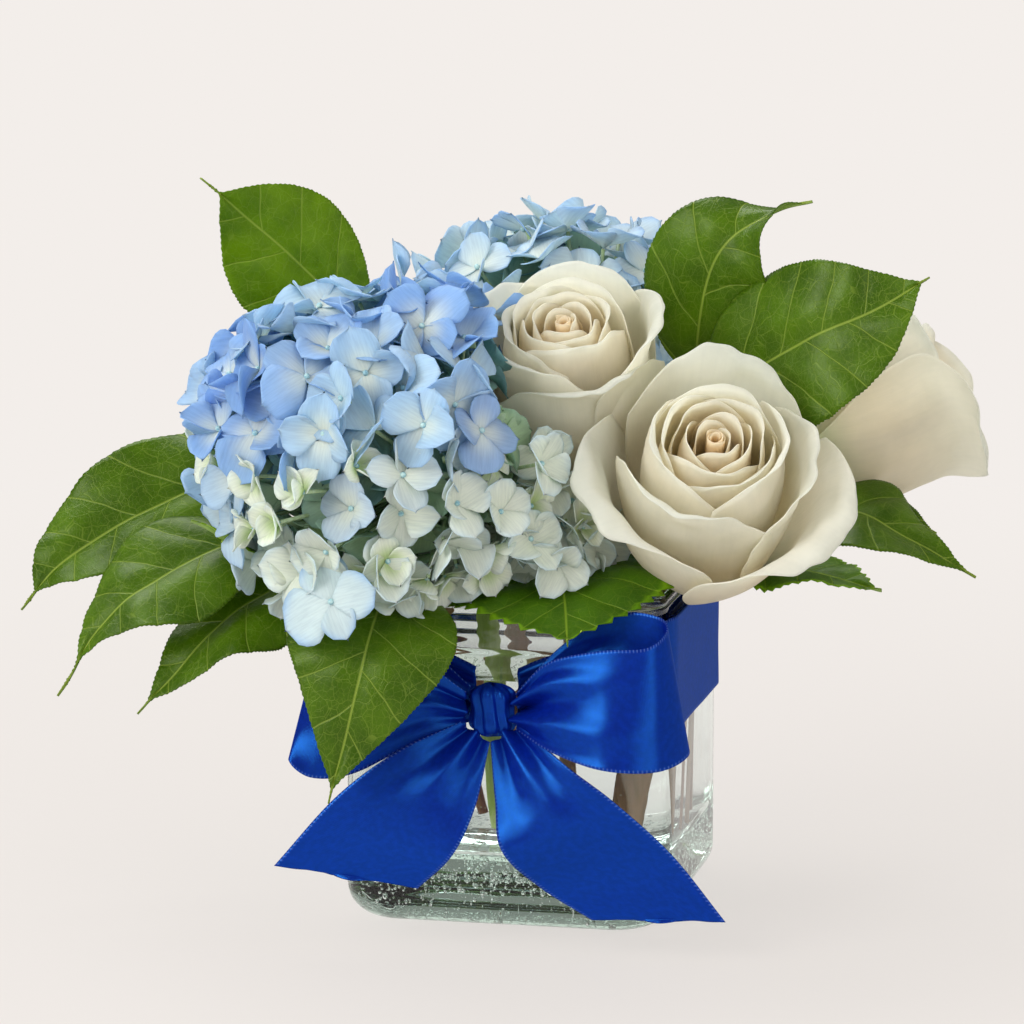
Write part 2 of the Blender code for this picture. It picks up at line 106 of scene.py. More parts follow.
# ------------------------------------------------------------------ meshes

class Patches:
    """Gathers grids of points into one mesh, with flat coordinates and a tint for the materials."""

    def __init__(self):
        self.points, self.faces, self.flat, self.tint = [], [], [], []
        self.count = 0

    def add(self, points, flat=None, tint=(1, 1, 1), wrap=False):
        """Adds a grid of points and returns their numbers; wrap joins its last column to its first."""
        rows, columns = points.shape[:2]
        index = self.count + np.arange(rows * columns).reshape(rows, columns)
        if wrap:
            index = np.concatenate([index, index[:, :1]], axis=1)
        corners = [index[:-1, :-1], index[:-1, 1:], index[1:, 1:], index[1:, :-1]]
        self.faces.extend(np.stack(corners, axis=-1).reshape(-1, 4).tolist())
        if flat is None:
            spread = np.meshgrid(np.linspace(0, 1, rows), np.linspace(0, 1, columns), indexing="ij")
            flat = np.stack(spread, axis=-1)
        tint = np.broadcast_to(np.asarray(tint, dtype=float), points.shape)
        self.points.append(points.reshape(-1, 3))
        self.flat.append(np.asarray(flat).reshape(-1, 2))
        self.tint.append(tint.reshape(-1, 3))
        self.count += rows * columns
        return index

    def add_closed(self, rings, flat=None, tint=(1, 1, 1)):
        """Adds rings of points as one closed form, with a cap on the first ring and on the last."""
        index = self.add(rings, flat, tint, wrap=True)
        self.faces.append(index[0, :-1][::-1].tolist())
        self.faces.append(index[-1, :-1].tolist())

    def build(self, name):
        mesh = bpy.data.meshes.new(name)
        points = np.concatenate(self.points)
        mesh.from_pydata(points.tolist(), [], self.faces)
        corners = np.empty(len(mesh.loops), dtype=np.int32)
        mesh.loops.foreach_get("vertex_index", corners)
        layer = mesh.uv_layers.new(name="flat")
        layer.data.foreach_set("uv", np.concatenate(self.flat)[corners].astype(np.float32).ravel())
        tint = mesh.attributes.new("tint", "FLOAT_COLOR", "POINT")
        colours = np.concatenate([np.concatenate(self.tint), np.ones((len(points), 1))], axis=1)
        tint.data.foreach_set("color", colours.astype(np.float32).ravel())
        mesh.shade_smooth()
        mesh.update()
        thing = bpy.data.objects.new(name, mesh)
        bpy.context.scene.collection.objects.link(thing)
        return thing


def finish_piece(thing, slot, *nodes, materials=(), thickness=0.0, underside=0):
    """Gives a piece its materials and its thickness, parents it to the root body and hides the CAD nodes
    that it stands for.

    underside is 1 where the second material is for the lower face of a thin piece.
    """
    for material in materials:
        thing.data.materials.append(material)
    if thickness:
        shell = thing.modifiers.new("Thickness", "SOLIDIFY")
        shell.thickness = thickness
        shell.offset = 0
        shell.material_offset = underside
    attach(thing, "root")
    if nodes:
        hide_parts(*nodes)
    return thing


def tube_grid(route, radii, sides):
    """Rings round a route; the first direction is carried along so that the tube doesn't twist."""
    route = np.asarray(route)
    ahead = unit(np.gradient(route, axis=0))
    side = unit(np.cross(ahead[0], UP if abs(ahead[0][2]) < 0.9 else (1.0, 0.0, 0.0)))
    rings = []
    turn = np.linspace(0, 2 * math.pi, sides, endpoint=False)
    for point, direction, radius in zip(route, ahead, np.broadcast_to(radii, len(route))):
        side = unit(side - direction * side.dot(direction))
        other = np.cross(direction, side)
        rings.append(point + radius * (np.cos(turn)[:, None] * side + np.sin(turn)[:, None] * other))
    return np.array(rings)


def add_tube(patches, route, radii, sides, tint):
    """A closed tube; tint is one colour, or one for each point of the route."""
    tint = np.asarray(tint, dtype=float)
    patches.add_closed(tube_grid(route, radii, sides), tint=tint[:, None] if tint.ndim == 2 else tint)


def ball_rings(level, upper, ahead, limit, rows, columns):
    """Rings of a unit ball round `ahead`, from -limit to limit degrees."""
    tilt = np.radians(np.linspace(-limit, limit, rows))[:, None, None]
    turn = np.linspace(0, 2 * math.pi, columns, endpoint=False)[None, :, None]
    return np.cos(tilt) * (np.cos(turn) * level + np.sin(turn) * upper) + np.sin(tilt) * ahead


# ------------------------------------------------------------------ material building

class Shader:
    """A material's node tree, with short ways to add and join nodes."""

    def __init__(self, name):
        self.material = bpy.data.materials.new(name)
        self.material.use_nodes = True
        self.tree = self.material.node_tree
        self.tree.nodes.clear()
        self.output = self.tree.nodes.new("ShaderNodeOutputMaterial")

    def node(self, kind, settings=None, **inputs):
        made = self.tree.nodes.new(kind)
        for key, value in (settings or {}).items():
            setattr(made, key, value)
        for key, value in inputs.items():
            self.feed(made.inputs[key.replace("_", " ")], value)
        return made

    def feed(self, socket, value):
        if isinstance(value, bpy.types.NodeSocket):
            self.tree.links.new(value, socket)
        else:
            socket.default_value = value

    def math(self, operation, *values):
        made = self.tree.nodes.new("ShaderNodeMath")
        made.operation = operation
        for socket, value in zip(made.inputs, values):
            self.feed(socket, value)
        return made.outputs[0]

    def mix(self, factor, a, b, blend="MIX"):
        made = self.tree.nodes.new("ShaderNodeMix")
        made.data_type = "RGBA"
        made.blend_type = blend
        self.feed(made.inputs[0], factor)
        self.feed(made.inputs[6], a if isinstance(a, bpy.types.NodeSocket) else (*a, 1.0))
        self.feed(made.inputs[7], b if isinstance(b, bpy.types.NodeSocket) else (*b, 1.0))
        return made.outputs[2]

    def ramp(self, factor, low, high):
        made = self.node("ShaderNodeMapRange", {"interpolation_type": "SMOOTHSTEP"}, Value=factor)
        made.inputs["From Min"].default_value = low
        made.inputs["From Max"].default_value = high
        return made.outputs[0]

    def fade(self, factor, low, high):
        """1 up to low, falling smoothly to 0 at high."""
        return self.math("SUBTRACT", 1.0, self.ramp(factor, low, high))

    def noise(self, vector, scale, detail=3.0, rough=0.55):
        return self.node("ShaderNodeTexNoise", Vector=vector, Scale=scale, Detail=detail,
                         Roughness=rough).outputs["Fac"]

    def flat(self):
        return self.node("ShaderNodeUVMap", {"uv_map": "flat"}).outputs[0]

    def tint(self):
        return self.node("ShaderNodeAttribute", {"attribute_name": "tint"}).outputs["Color"]

    def place(self):
        return self.node("ShaderNodeTexCoord").outputs["Object"]

    def bump(self, height, strength, distance):
        return self.node("ShaderNodeBump", Height=height, Strength=strength, Distance=distance).outputs[0]

    def principled(self, **inputs):
        return self.node("ShaderNodeBsdfPrincipled", **inputs)

    def surface(self, shader):
        self.tree.links.new(shader, self.output.inputs["Surface"])
        return self.material

    def thin(self, shader, colour, share, normal=None):
        """Mixes in light that passes through a petal or a leaf."""
        through_light = self.node("ShaderNodeBsdfTranslucent", Color=colour)
        if normal is not None:
            self.feed(through_light.inputs["Normal"], normal)
        mixed = self.node("ShaderNodeMixShader", Fac=share)
        self.tree.links.new(shader, mixed.inputs[1])
        self.tree.links.new(through_light.outputs[0], mixed.inputs[2])
        return self.surface(mixed.outputs[0])


# The side veins of a leaf: how they slant and curve away from the midrib, how far those of one side are
# ahead of the other's, and the gap between them on a salal leaf and on a hydrangea's.
VEIN_SLANT = 0.95
VEIN_CURVE = 10.0
VEIN_STAGGER = 0.4
SALAL_VEIN_GAP = 16.5 * MM
BROAD_VEIN_GAP = 12.5 * MM


def leaf_material(name, dark, light, vein, vein_gap, roughness, vein_strength):
    """A glossy leaf: midrib, side veins and a net of fine veins, from flat coordinates in metres."""
    s = Shader(name)
    flat = s.flat()
    parts = s.node("ShaderNodeSeparateXYZ", Vector=flat)
    along, across = parts.outputs[0], parts.outputs[1]
    wander = s.math("MULTIPLY", s.math("SUBTRACT", s.noise(flat, 45.0, 2.0), 0.5), 0.004)
    away = s.math("ABSOLUTE", across)
    curve = s.math("MULTIPLY", s.math("MULTIPLY", away, away), VEIN_CURVE)
    slant = s.math("SUBTRACT", along, s.math("MULTIPLY", away, VEIN_SLANT))
    slant = s.math("ADD", s.math("ADD", slant, curve), wander)
    side = s.math("GREATER_THAN", across, 0.0)
    slant = s.math("ADD", slant, s.math("MULTIPLY", side, vein_gap * VEIN_STAGGER))
    beat = s.math("FRACT", s.math("DIVIDE", slant, vein_gap))
    phase = s.math("ABSOLUTE", s.math("SUBTRACT", beat, 0.5))
    lateral = s.fade(s.math("MULTIPLY", phase, vein_gap), 0.00008, 0.00045)
    midrib = s.fade(away, 0.00015, 0.0006)
    warp = s.node("ShaderNodeTexNoise", Vector=flat, Scale=150.0, Detail=2.0).outputs["Color"]
    warped = s.node("ShaderNodeVectorMath", {"operation": "MULTIPLY_ADD"})
    for socket, value in zip(warped.inputs, (warp, (0.0035, 0.0035, 0.0), flat)):
        s.feed(socket, value)
    nets = []
    for scale, width, weight in ((230.0, 0.030, 0.40), (700.0, 0.05, 0.26)):
        cells = s.node("ShaderNodeTexVoronoi", {"feature": "DISTANCE_TO_EDGE"}, Vector=warped.outputs[0],
                       Scale=scale)
        nets.append(s.math("MULTIPLY", s.fade(cells.outputs["Distance"], 0.0, width), weight))
    net = s.math("MAXIMUM", *nets)
    veins = s.math("MAXIMUM", s.math("MAXIMUM", midrib, s.math("MULTIPLY", lateral, 0.75)), net)
    colour = s.mix(s.ramp(s.noise(flat, 60.0, 4.0), 0.30, 0.72), dark, light)
    colour = s.mix(0.35, colour, s.tint(), "MULTIPLY")
    colour = s.mix(s.math("MULTIPLY", veins, vein_strength), colour, vein)
    ribs = s.math("ADD", s.math("MAXIMUM", midrib, lateral), s.math("MULTIPLY", net, 0.5))
    relief = s.math("SUBTRACT", s.math("MULTIPLY", s.noise(flat, 420.0, 3.0), 0.9), ribs)
    normal = s.bump(relief, 0.55, 0.00028)
    rough = s.math("ADD", roughness, s.math("MULTIPLY", s.noise(flat, 160.0, 3.0), 0.16))
    body = s.principled(Base_Color=colour, Roughness=rough, Normal=normal, Specular_IOR_Level=0.40,
                        Specular_Tint=(0.82, 0.90, 0.55, 1.0))
    glow = s.mix(0.6, colour, (0.32, 0.55, 0.006))
    return s.thin(body.outputs[0], glow, 0.24, normal)


def petal_material(name, roughness, share, vein_scale, vein_depth, sheen, inside):
    """Soft petals: the tint of each petal, fine long veins and light that passes through."""
    s = Shader(name)
    flat = s.flat()
    stretched = s.node("ShaderNodeMapping", Vector=flat)
    stretched.inputs["Scale"].default_value = (0.10, 1.0, 1.0)
    streak = s.noise(stretched.outputs[0], vein_scale, 3.0)
    soft = s.noise(s.place(), 160.0, 3.0)
    veined = s.math("MULTIPLY", s.ramp(streak, 0.35, 0.70), vein_depth)
    clouded = s.math("MULTIPLY", s.ramp(soft, 0.35, 0.75), 0.16)
    shade = s.mix(veined, s.tint(), (0.62, 0.66, 0.72), "MULTIPLY")
    shade = s.mix(clouded, shade, (0.80, 0.82, 0.80), "MULTIPLY")
    normal = s.bump(s.math("ADD", streak, s.math("MULTIPLY", soft, 0.4)), 0.35, 0.0003)
    body = s.principled(Base_Color=shade, Roughness=roughness, Normal=normal, Specular_IOR_Level=0.30,
                        Sheen_Weight=sheen, Sheen_Roughness=0.5)
    return s.thin(body.outputs[0], s.mix(1.0, shade, inside, "MULTIPLY"), share, normal)


def bead_material():
    s = Shader("hydrangea_bead")
    speck = s.noise(s.place(), 900.0, 2.0)
    colour = s.mix(s.ramp(speck, 0.3, 0.7), (0.20, 0.42, 0.52), (0.48, 0.68, 0.66))
    body = s.principled(Base_Color=colour, Roughness=0.4, Normal=s.bump(speck, 0.3, 0.0002))
    return s.surface(body.outputs[0])


def stem_material():
    """Green to red-brown bark with long fibres and small pale spots."""
    s = Shader("stem_bark")
    place = s.place()
    fibre = s.node("ShaderNodeMapping", Vector=place)
    fibre.inputs["Scale"].default_value = (1.0, 1.0, 0.08)
    streak = s.noise(fibre.outputs[0], 900.0, 3.0)
    spots = s.node("ShaderNodeTexVoronoi", Vector=place, Scale=420.0).outputs["Distance"]
    colour = s.mix(s.ramp(streak, 0.3, 0.7), s.tint(), (0.75, 0.80, 0.55), "MULTIPLY")
    colour = s.mix(s.math("MULTIPLY", s.fade(spots, 0.05, 0.16), 0.5), colour, (0.62, 0.60, 0.40))
    normal = s.bump(s.math("ADD", streak, s.math("MULTIPLY", spots, 0.5)), 0.5, 0.0004)
    body = s.principled(Base_Color=colour, Roughness=0.48, Normal=normal)
    return s.surface(body.outputs[0])


def satin_material():
    """Royal blue satin: a fine slanting weave, a soft sheen and a woven edge with small pale ticks."""
    s = Shader("ribbon_satin")
    flat = s.flat()
    parts = s.node("ShaderNodeSeparateXYZ", Vector=flat)
    along, across = parts.outputs[0], parts.outputs[1]
    slanted = s.math("ADD", across, s.math("MULTIPLY", along, 0.35))
    warp = s.math("SINE", s.math("MULTIPLY", slanted, 19000.0))
    weft = s.math("SINE", s.math("MULTIPLY", along, 13000.0))
    weave = s.math("MULTIPLY", s.math("ADD", warp, s.math("MULTIPLY", weft, 0.6)), 0.5)
    tone = s.ramp(s.noise(flat, 500.0, 3.0), 0.3, 0.75)
    colour = s.mix(tone, (0.0004, 0.009, 0.17), (0.0006, 0.013, 0.23))
    from_edge = s.math("SUBTRACT", RIBBON_WIDTH / 2, s.math("ABSOLUTE", across))
    edge = s.fade(from_edge, 0.0005, 0.0012)
    ticks = s.math("GREATER_THAN", s.math("SINE", s.math("MULTIPLY", along, 5200.0)), 0.45)
    colour = s.mix(s.math("MULTIPLY", s.math("MULTIPLY", edge, ticks), 0.22), colour, (0.22, 0.32, 0.75))
    normal = s.bump(s.math("SUBTRACT", weave, s.math("MULTIPLY", edge, 1.5)), 0.16, 0.00012)
    body = s.principled(Base_Color=colour, Roughness=0.6, Normal=normal, Specular_IOR_Level=0.04)
    gloss = s.node("ShaderNodeBsdfAnisotropic", Color=(0.03, 0.29, 1.0, 1.0), Roughness=0.20,
                   Anisotropy=0.45, Normal=normal)
    mixed = s.node("ShaderNodeMixShader", Fac=0.118)
    s.tree.links.new(body.outputs[0], mixed.inputs[1])
    s.tree.links.new(gloss.outputs[0], mixed.inputs[2])
    return s.surface(mixed.outputs[0])


def clear_material(name, colour, index, absorbed=None, density=0.0, bumps=0.0):
    """Glass or water that refracts what is seen through it and lets the lamps shine through."""
    s = Shader(name)
    body = s.principled(Base_Color=colour, Roughness=0.0, Transmission_Weight=1.0, IOR=index)
    if bumps:
        s.feed(body.inputs["Normal"], s.bump(s.noise(s.place(), 38.0, 2.0), bumps, 0.002))
    clear = s.node("ShaderNodeBsdfTransparent", Color=(0.90, 0.93, 0.92, 1.0))
    rays = s.node("ShaderNodeLightPath")
    mixed = s.node("ShaderNodeMixShader", Fac=rays.outputs["Is Shadow Ray"])
    s.tree.links.new(body.outputs[0], mixed.inputs[1])
    s.tree.links.new(clear.outputs[0], mixed.inputs[2])
    if absorbed:
        volume = s.node("ShaderNodeVolumeAbsorption", Color=absorbed, Density=density)
        s.tree.links.new(volume.outputs[0], s.output.inputs["Volume"])
    return s.surface(mixed.outputs[0])


# ------------------------------------------------------------------ vase and water

VASE_LOW, VASE_HIGH = (np.array(corner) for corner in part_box("vase"))
VASE_HALF = (VASE_HIGH[0] - VASE_LOW[0]) / 2
VASE_TOP = VASE_HIGH[2]
WATER_LOW, WATER_HIGH = (np.array(corner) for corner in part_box("water"))
WATER_TOP = WATER_HIGH[2]
VASE_FLOOR = WATER_LOW[2]
WALL = VASE_HALF - WATER_HIGH[0]
CORNER = 17 * MM
FOOT_ROUND = 10 * MM
FLOOR_ROUND = 8 * MM
LEDGE = 87 * MM
RIDGES = 3
RING_STEPS = 8
NECK_INSET = 1.6 * MM
LIP = 1.6 * MM
BUBBLES = 2600


def square_ring(half, corner, height, steps=12):
    """Points round a square with round corners, counter-clockwise from above."""
    angle = np.radians(np.linspace(0, 90, steps + 1))
    x = half - corner + corner * np.cos(angle)
    y = half - corner + corner * np.sin(angle)
    ring = []
    for quarter in range(4):
        c, s = math.cos(math.pi / 2 * quarter), math.sin(math.pi / 2 * quarter)
        ring.append(np.stack([c * x - s * y, s * x + c * y, np.full_like(x, height)], axis=1))
        start = ring[-1][-1]
        end = np.array((-s * x[0] - c * y[0], c * x[0] - s * y[0], height))
        ring.append(start + (end - start) * np.linspace(0, 1, 7)[1:-1, None])
    return np.concatenate(ring)


def floor_rings(half, corner, height, dish, seed, inward):
    """Rings that close the foot or the inner floor, with a slight dish and the waves of pressed glass."""
    rings = []
    for share in (0.86, 0.66, 0.46, 0.27, 0.10):
        ring = square_ring(half * share, corner * share, height)
        depth = dish * (1 - share ** 2)
        waves = ripple(ring, 30 * MM, seed) * 0.45 * MM * (1 - share)
        ring[:, 2] += inward * depth + waves * (inward > 0) * 0.6 + waves * (inward < 0)
        rings.append(ring)
    return rings


def floor_edge(half, corner, floor, angles):
    """Rings on the rounded edge of the inner floor; the glass and the water on it share its shape."""
    rings = []
    for angle in np.radians(angles):
        inset = FLOOR_ROUND * (1 - math.cos(angle))
        height = floor + FLOOR_ROUND * (1 - math.sin(angle))
        rings.append(square_ring(half - inset, corner - inset * 0.7, height))
    return rings


def outer_rings():
    """The vase's outside: the rounded foot, the wall up to the ledge, the ridged neck and the lip."""
    rings = []
    for angle in np.radians(np.linspace(0, 90, 9)):
        inset = FOOT_ROUND * (1 - math.sin(angle))
        height = FOOT_ROUND * (1 - math.cos(angle))
        rings.append(square_ring(VASE_HALF - inset, CORNER - inset * 0.8, height))
    for height in np.linspace(FOOT_ROUND, LEDGE - 2 * MM, 9)[1:]:
        rings.append(square_ring(VASE_HALF, CORNER, height))
    rings.append(square_ring(VASE_HALF - 0.5 * MM, CORNER, LEDGE - 0.7 * MM))
    neck = VASE_HALF - NECK_INSET
    pitch = (VASE_TOP - 3 * MM - LEDGE) / RIDGES
    for step in range(RIDGES * RING_STEPS + 1):
        wave = 0.5 - 0.5 * math.cos(2 * math.pi * step / RING_STEPS)
        groove = 0.12 * MM * (1 - wave)
        rings.append(square_ring(neck - groove, CORNER - 1.5 * MM, LEDGE + pitch * step / RING_STEPS))
    for angle in np.radians(np.linspace(-60, 180, 11)):
        half = neck - LIP + LIP * math.cos(angle)
        rings.append(square_ring(half, CORNER - 3 * MM, VASE_TOP - LIP + LIP * math.sin(angle)))
    return rings


def inner_rings():
    """The vase's inside, from below the lip down to the dished floor."""
    half = VASE_HALF - WALL
    corner = CORNER - WALL
    rings = [square_ring(half, corner, height)
             for height in np.linspace(VASE_TOP - 4 * MM, VASE_FLOOR + FLOOR_ROUND, 12)]
    rings += floor_edge(half, corner, VASE_FLOOR, np.linspace(12, 90, 7))
    rings += floor_rings(half - FLOOR_ROUND, corner - FLOOR_ROUND * 0.7, VASE_FLOOR, 0.5 * MM, 8, -1.0)
    return rings


def build_vase(material):
    foot = floor_rings(VASE_HALF - FOOT_ROUND, CORNER * 0.5, 0.0, 0.9 * MM, 3, 1.0)[::-1]
    grid = np.array(foot + outer_rings() + inner_rings())
    calm = 1 - 0.8 * smooth(LEDGE - 4 * MM, LEDGE, grid[..., 2])
    wobble = ripple(grid, 26 * MM, 5) * 0.10 * MM * smooth(1 * MM, 12 * MM, grid[..., 2]) * calm
    outward = unit(grid * np.array((1.0, 1.0, 0.0)))
    skin = Patches()
    skin.add_closed(grid - outward * np.abs(wobble)[..., None])
    add_bubbles(skin)
    finish_piece(skin.build("glass_vase"), "glass", "vase", materials=[material])


def add_bubbles(skin):
    """Seed bubbles: small hollows in the thick foot, most of them near its edge and its middle height."""
    source = np.random.default_rng(21)
    hollow = ball_rings(*np.eye(3), 70, 5, 7)[:, ::-1]
    placed = 0
    while placed < BUBBLES:
        x, y = source.uniform(-1, 1, 2) * (VASE_HALF - 4 * MM)
        z = source.normal(0.62, 0.20) * VASE_FLOOR
        wall_side = max(abs(x), abs(y))
        if not 2 * MM < z < VASE_FLOOR - 1.6 * MM:
            continue
        if wall_side > VASE_HALF - 4 * MM - max(0.0, FOOT_ROUND - z) * 0.7:
            continue
        if math.hypot(max(abs(x) - 34 * MM, 0), max(abs(y) - 34 * MM, 0)) > 10 * MM:
            continue
        if wall_side < 30 * MM and source.uniform() < 0.55:
            continue
        radius = min(max(source.gamma(2.5, 0.13), 0.18), 0.85) * MM
        skin.add_closed(np.array((x, y, z)) + hollow * radius)
        placed += 1


def build_water(material):
    """The water reaches a hair into the glass, so that no film of air shows between them."""
    bite = 0.15 * MM
    half = VASE_HALF - WALL + bite
    corner = CORNER - WALL
    floor = VASE_FLOOR - bite
    climb = 1.2 * MM
    rings = floor_rings(half - FLOOR_ROUND, corner - FLOOR_ROUND * 0.7, floor, 0.5 * MM, 8, -1.0)[::-1]
    rings += floor_edge(half, corner, floor, np.linspace(90, 12, 7))
    for height in np.linspace(VASE_FLOOR + FLOOR_ROUND, WATER_TOP + climb, 8):
        rings.append(square_ring(half, corner, height))
    for step in range(1, 6):
        inset = 0.7 * MM * step
        height = WATER_TOP + climb * (1 - step / 5) ** 2
        rings.append(square_ring(half - inset, corner - inset * 0.6, height))
    rings.append(square_ring(half * 0.5, corner * 0.5, WATER_TOP))
    skin = Patches()
    skin.add_closed(np.array(rings))
    finish_piece(skin.build("vase_water"), "water", "water", materials=[material])


# ------------------------------------------------------------------ stems

STEM_FOOT = VASE_FLOOR + 2.6 * MM
NECK_HEIGHT = 99 * MM
STEM_TWIST = math.radians(-20)
STEM_GATHER = 0.8
STEM_SHIFT = mm(6, 0)


def stem_route(neck_x, neck_y, above, count=60):
    """From the vase's floor, through the neck and on through the points above it."""
    c, s = math.cos(STEM_TWIST), math.sin(STEM_TWIST)
    foot_xy = mm(c * neck_x - s * neck_y, s * neck_x + c * neck_y) * STEM_GATHER + STEM_SHIFT
    foot = np.array((*foot_xy, STEM_FOOT))
    neck = np.array((neck_x * MM, neck_y * MM, NECK_HEIGHT))
    return through([foot, foot + (neck - foot) * 0.55, neck, *above], np.linspace(0, 1, count))


def stem_patches(route, radius, low_tint, high_tint, swell=0.0, joints=()):
    """A stem whose tint changes along it, with swollen leaf joints and, for a rose, its hip."""
    share = np.linspace(0, 1, len(route))
    radii = radius * (1 + 0.05 * np.sin(share * 37))
    for joint in joints:
        radii += radius * 0.22 * np.exp(-((share - joint) / 0.014) ** 2)
    if swell:
        radii += (swell - radius) * smooth(0.93, 0.995, share)
    low, high = np.array(low_tint), np.array(high_tint)
    patches = Patches()
    add_tube(patches, route, radii, 16, low + (high - low) * smooth(0.25, 0.7, share)[:, None])
    return patches


# ------------------------------------------------------------------ leaves

def leaf_grid(knots, face, half_width, peak=0.40, tip_power=1.05, fold=(0.16, 0.16), droop=(0.25, 0.25),
              stalk=0.10, teeth=(64, 0.5), wave=(1.2, 3.0, 0.0), twist=0.0, tail=0.04,
              vein_gap=SALAL_VEIN_GAP):
    """A leaf's points, its flat coordinates and the share of the blade at each row.

    knots run along the midrib in millimetres and face is the direction of the upper side. peak is where
    the blade is widest, stalk is the share of the length below the blade and tail the share of the blade in
    its drip tip. fold lifts each half from the midrib and droop bends it down again, teeth is their number
    and depth, wave the edge's rise in millimetres, its count and its phase, and twist turns the tip round
    the midrib.
    """
    rows, columns = 230, 31
    u = np.linspace(0, 1, rows)
    spine = through(np.array(knots) * MM, u)
    ahead = unit(np.gradient(spine, axis=0))
    length = np.linalg.norm(np.diff(spine, axis=0), axis=1).sum()
    faces = np.broadcast_to(unit(face), spine.shape)
    normal = unit(faces - ahead * np.sum(faces * ahead, axis=1, keepdims=True))
    side = np.cross(ahead, normal)
    turn = twist * smooth(0.6, 1.0, u)[:, None]
    side, normal = (side * np.cos(turn) + normal * np.sin(turn),
                    normal * np.cos(turn) - side * np.sin(turn))

    blade = np.clip((u - stalk) / (1 - stalk), 0, 1)
    rise = tip_power * peak / (1 - peak)
    main = np.clip(blade / (1 - tail), 0, 1)
    shape = main ** rise * (1 - main) ** tip_power / (peak ** rise * (1 - peak) ** tip_power)
    drip = 0.10 * (1 - blade) ** 0.8 * smooth(0.5, 0.9, blade)
    reach_scale = half_width * MM
    width = reach_scale * np.sqrt(shape ** 2 + drip ** 2)
    stalk_width = 0.8 * MM * (1 - 0.88 * u)
    count, depth = teeth
    saw = (blade * count) % 1.0
    notch = depth * MM * (saw - 0.5) * smooth(0.04, 0.15, blade) * (1 - smooth(0.93, 0.995, blade))
    v = np.linspace(-1, 1, columns)
    v = np.sign(v) * np.abs(v) ** 0.9
    reach = (width + stalk_width)[:, None] * v + notch[:, None] * np.abs(v) ** 8 * np.sign(v)

    right = (v > 0)[None, :]
    lift = np.where(right, fold[1], fold[0]) * np.abs(reach)
    lift = lift - np.where(right, droop[1], droop[0]) * reach ** 2 / reach_scale
    rise_mm, waves, phase = wave
    swell = np.sin(u * waves * 2 * math.pi + phase)[:, None] * np.where(right, 1.0, -0.8)
    broad = np.minimum(width / reach_scale, 1)[:, None]
    lift = lift + rise_mm * MM * swell * np.abs(v)[None, :] ** 2 * broad
    rib = (u * length)[:, None] - VEIN_SLANT * np.abs(reach) + VEIN_CURVE * reach ** 2
    rib = rib + np.where(right, VEIN_STAGGER * vein_gap, 0.0)
    quilt = np.abs(np.cos(rib / vein_gap * math.pi)) ** 0.7
    lift = lift + 0.75 * MM * quilt * smooth(0.03, 0.35, np.abs(v))[None, :]
    points = spine[:, None, :] + side[:, None, :] * reach[..., None] + normal[:, None, :] * lift[..., None]
    seed = int(abs(knots[0][0]) * 7 + half_width)
    buckle = ripple(points, 34 * MM, seed) * 1.7 * MM * smooth(0.1, 0.6, blade)[:, None]
    points = points + normal[:, None, :] * buckle[..., None]
    flat = np.stack([np.broadcast_to((u * length)[:, None], reach.shape), reach], axis=-1)
    return points, flat, blade


def build_leaf(node, spec, materials, tint=(1.0, 1.0, 1.0), pale_edge=False):
    points, flat, blade = leaf_grid(**spec)
    colour = np.broadcast_to(np.array(tint), points.shape).copy()
    colour *= (1 - 0.18 * smooth(0.6, 1.0, 1 - blade))[:, None, None]
    if pale_edge:
        colour[:, [0, 1, -2, -1]] *= (6.0, 4.4, 1.0)
    patches = Patches()
    patches.add(points, flat, colour)
    finish_piece(patches.build(node + "_blade"), "leaf", node, materials=materials,
                 thickness=LEAF_THICKNESS, underside=1)


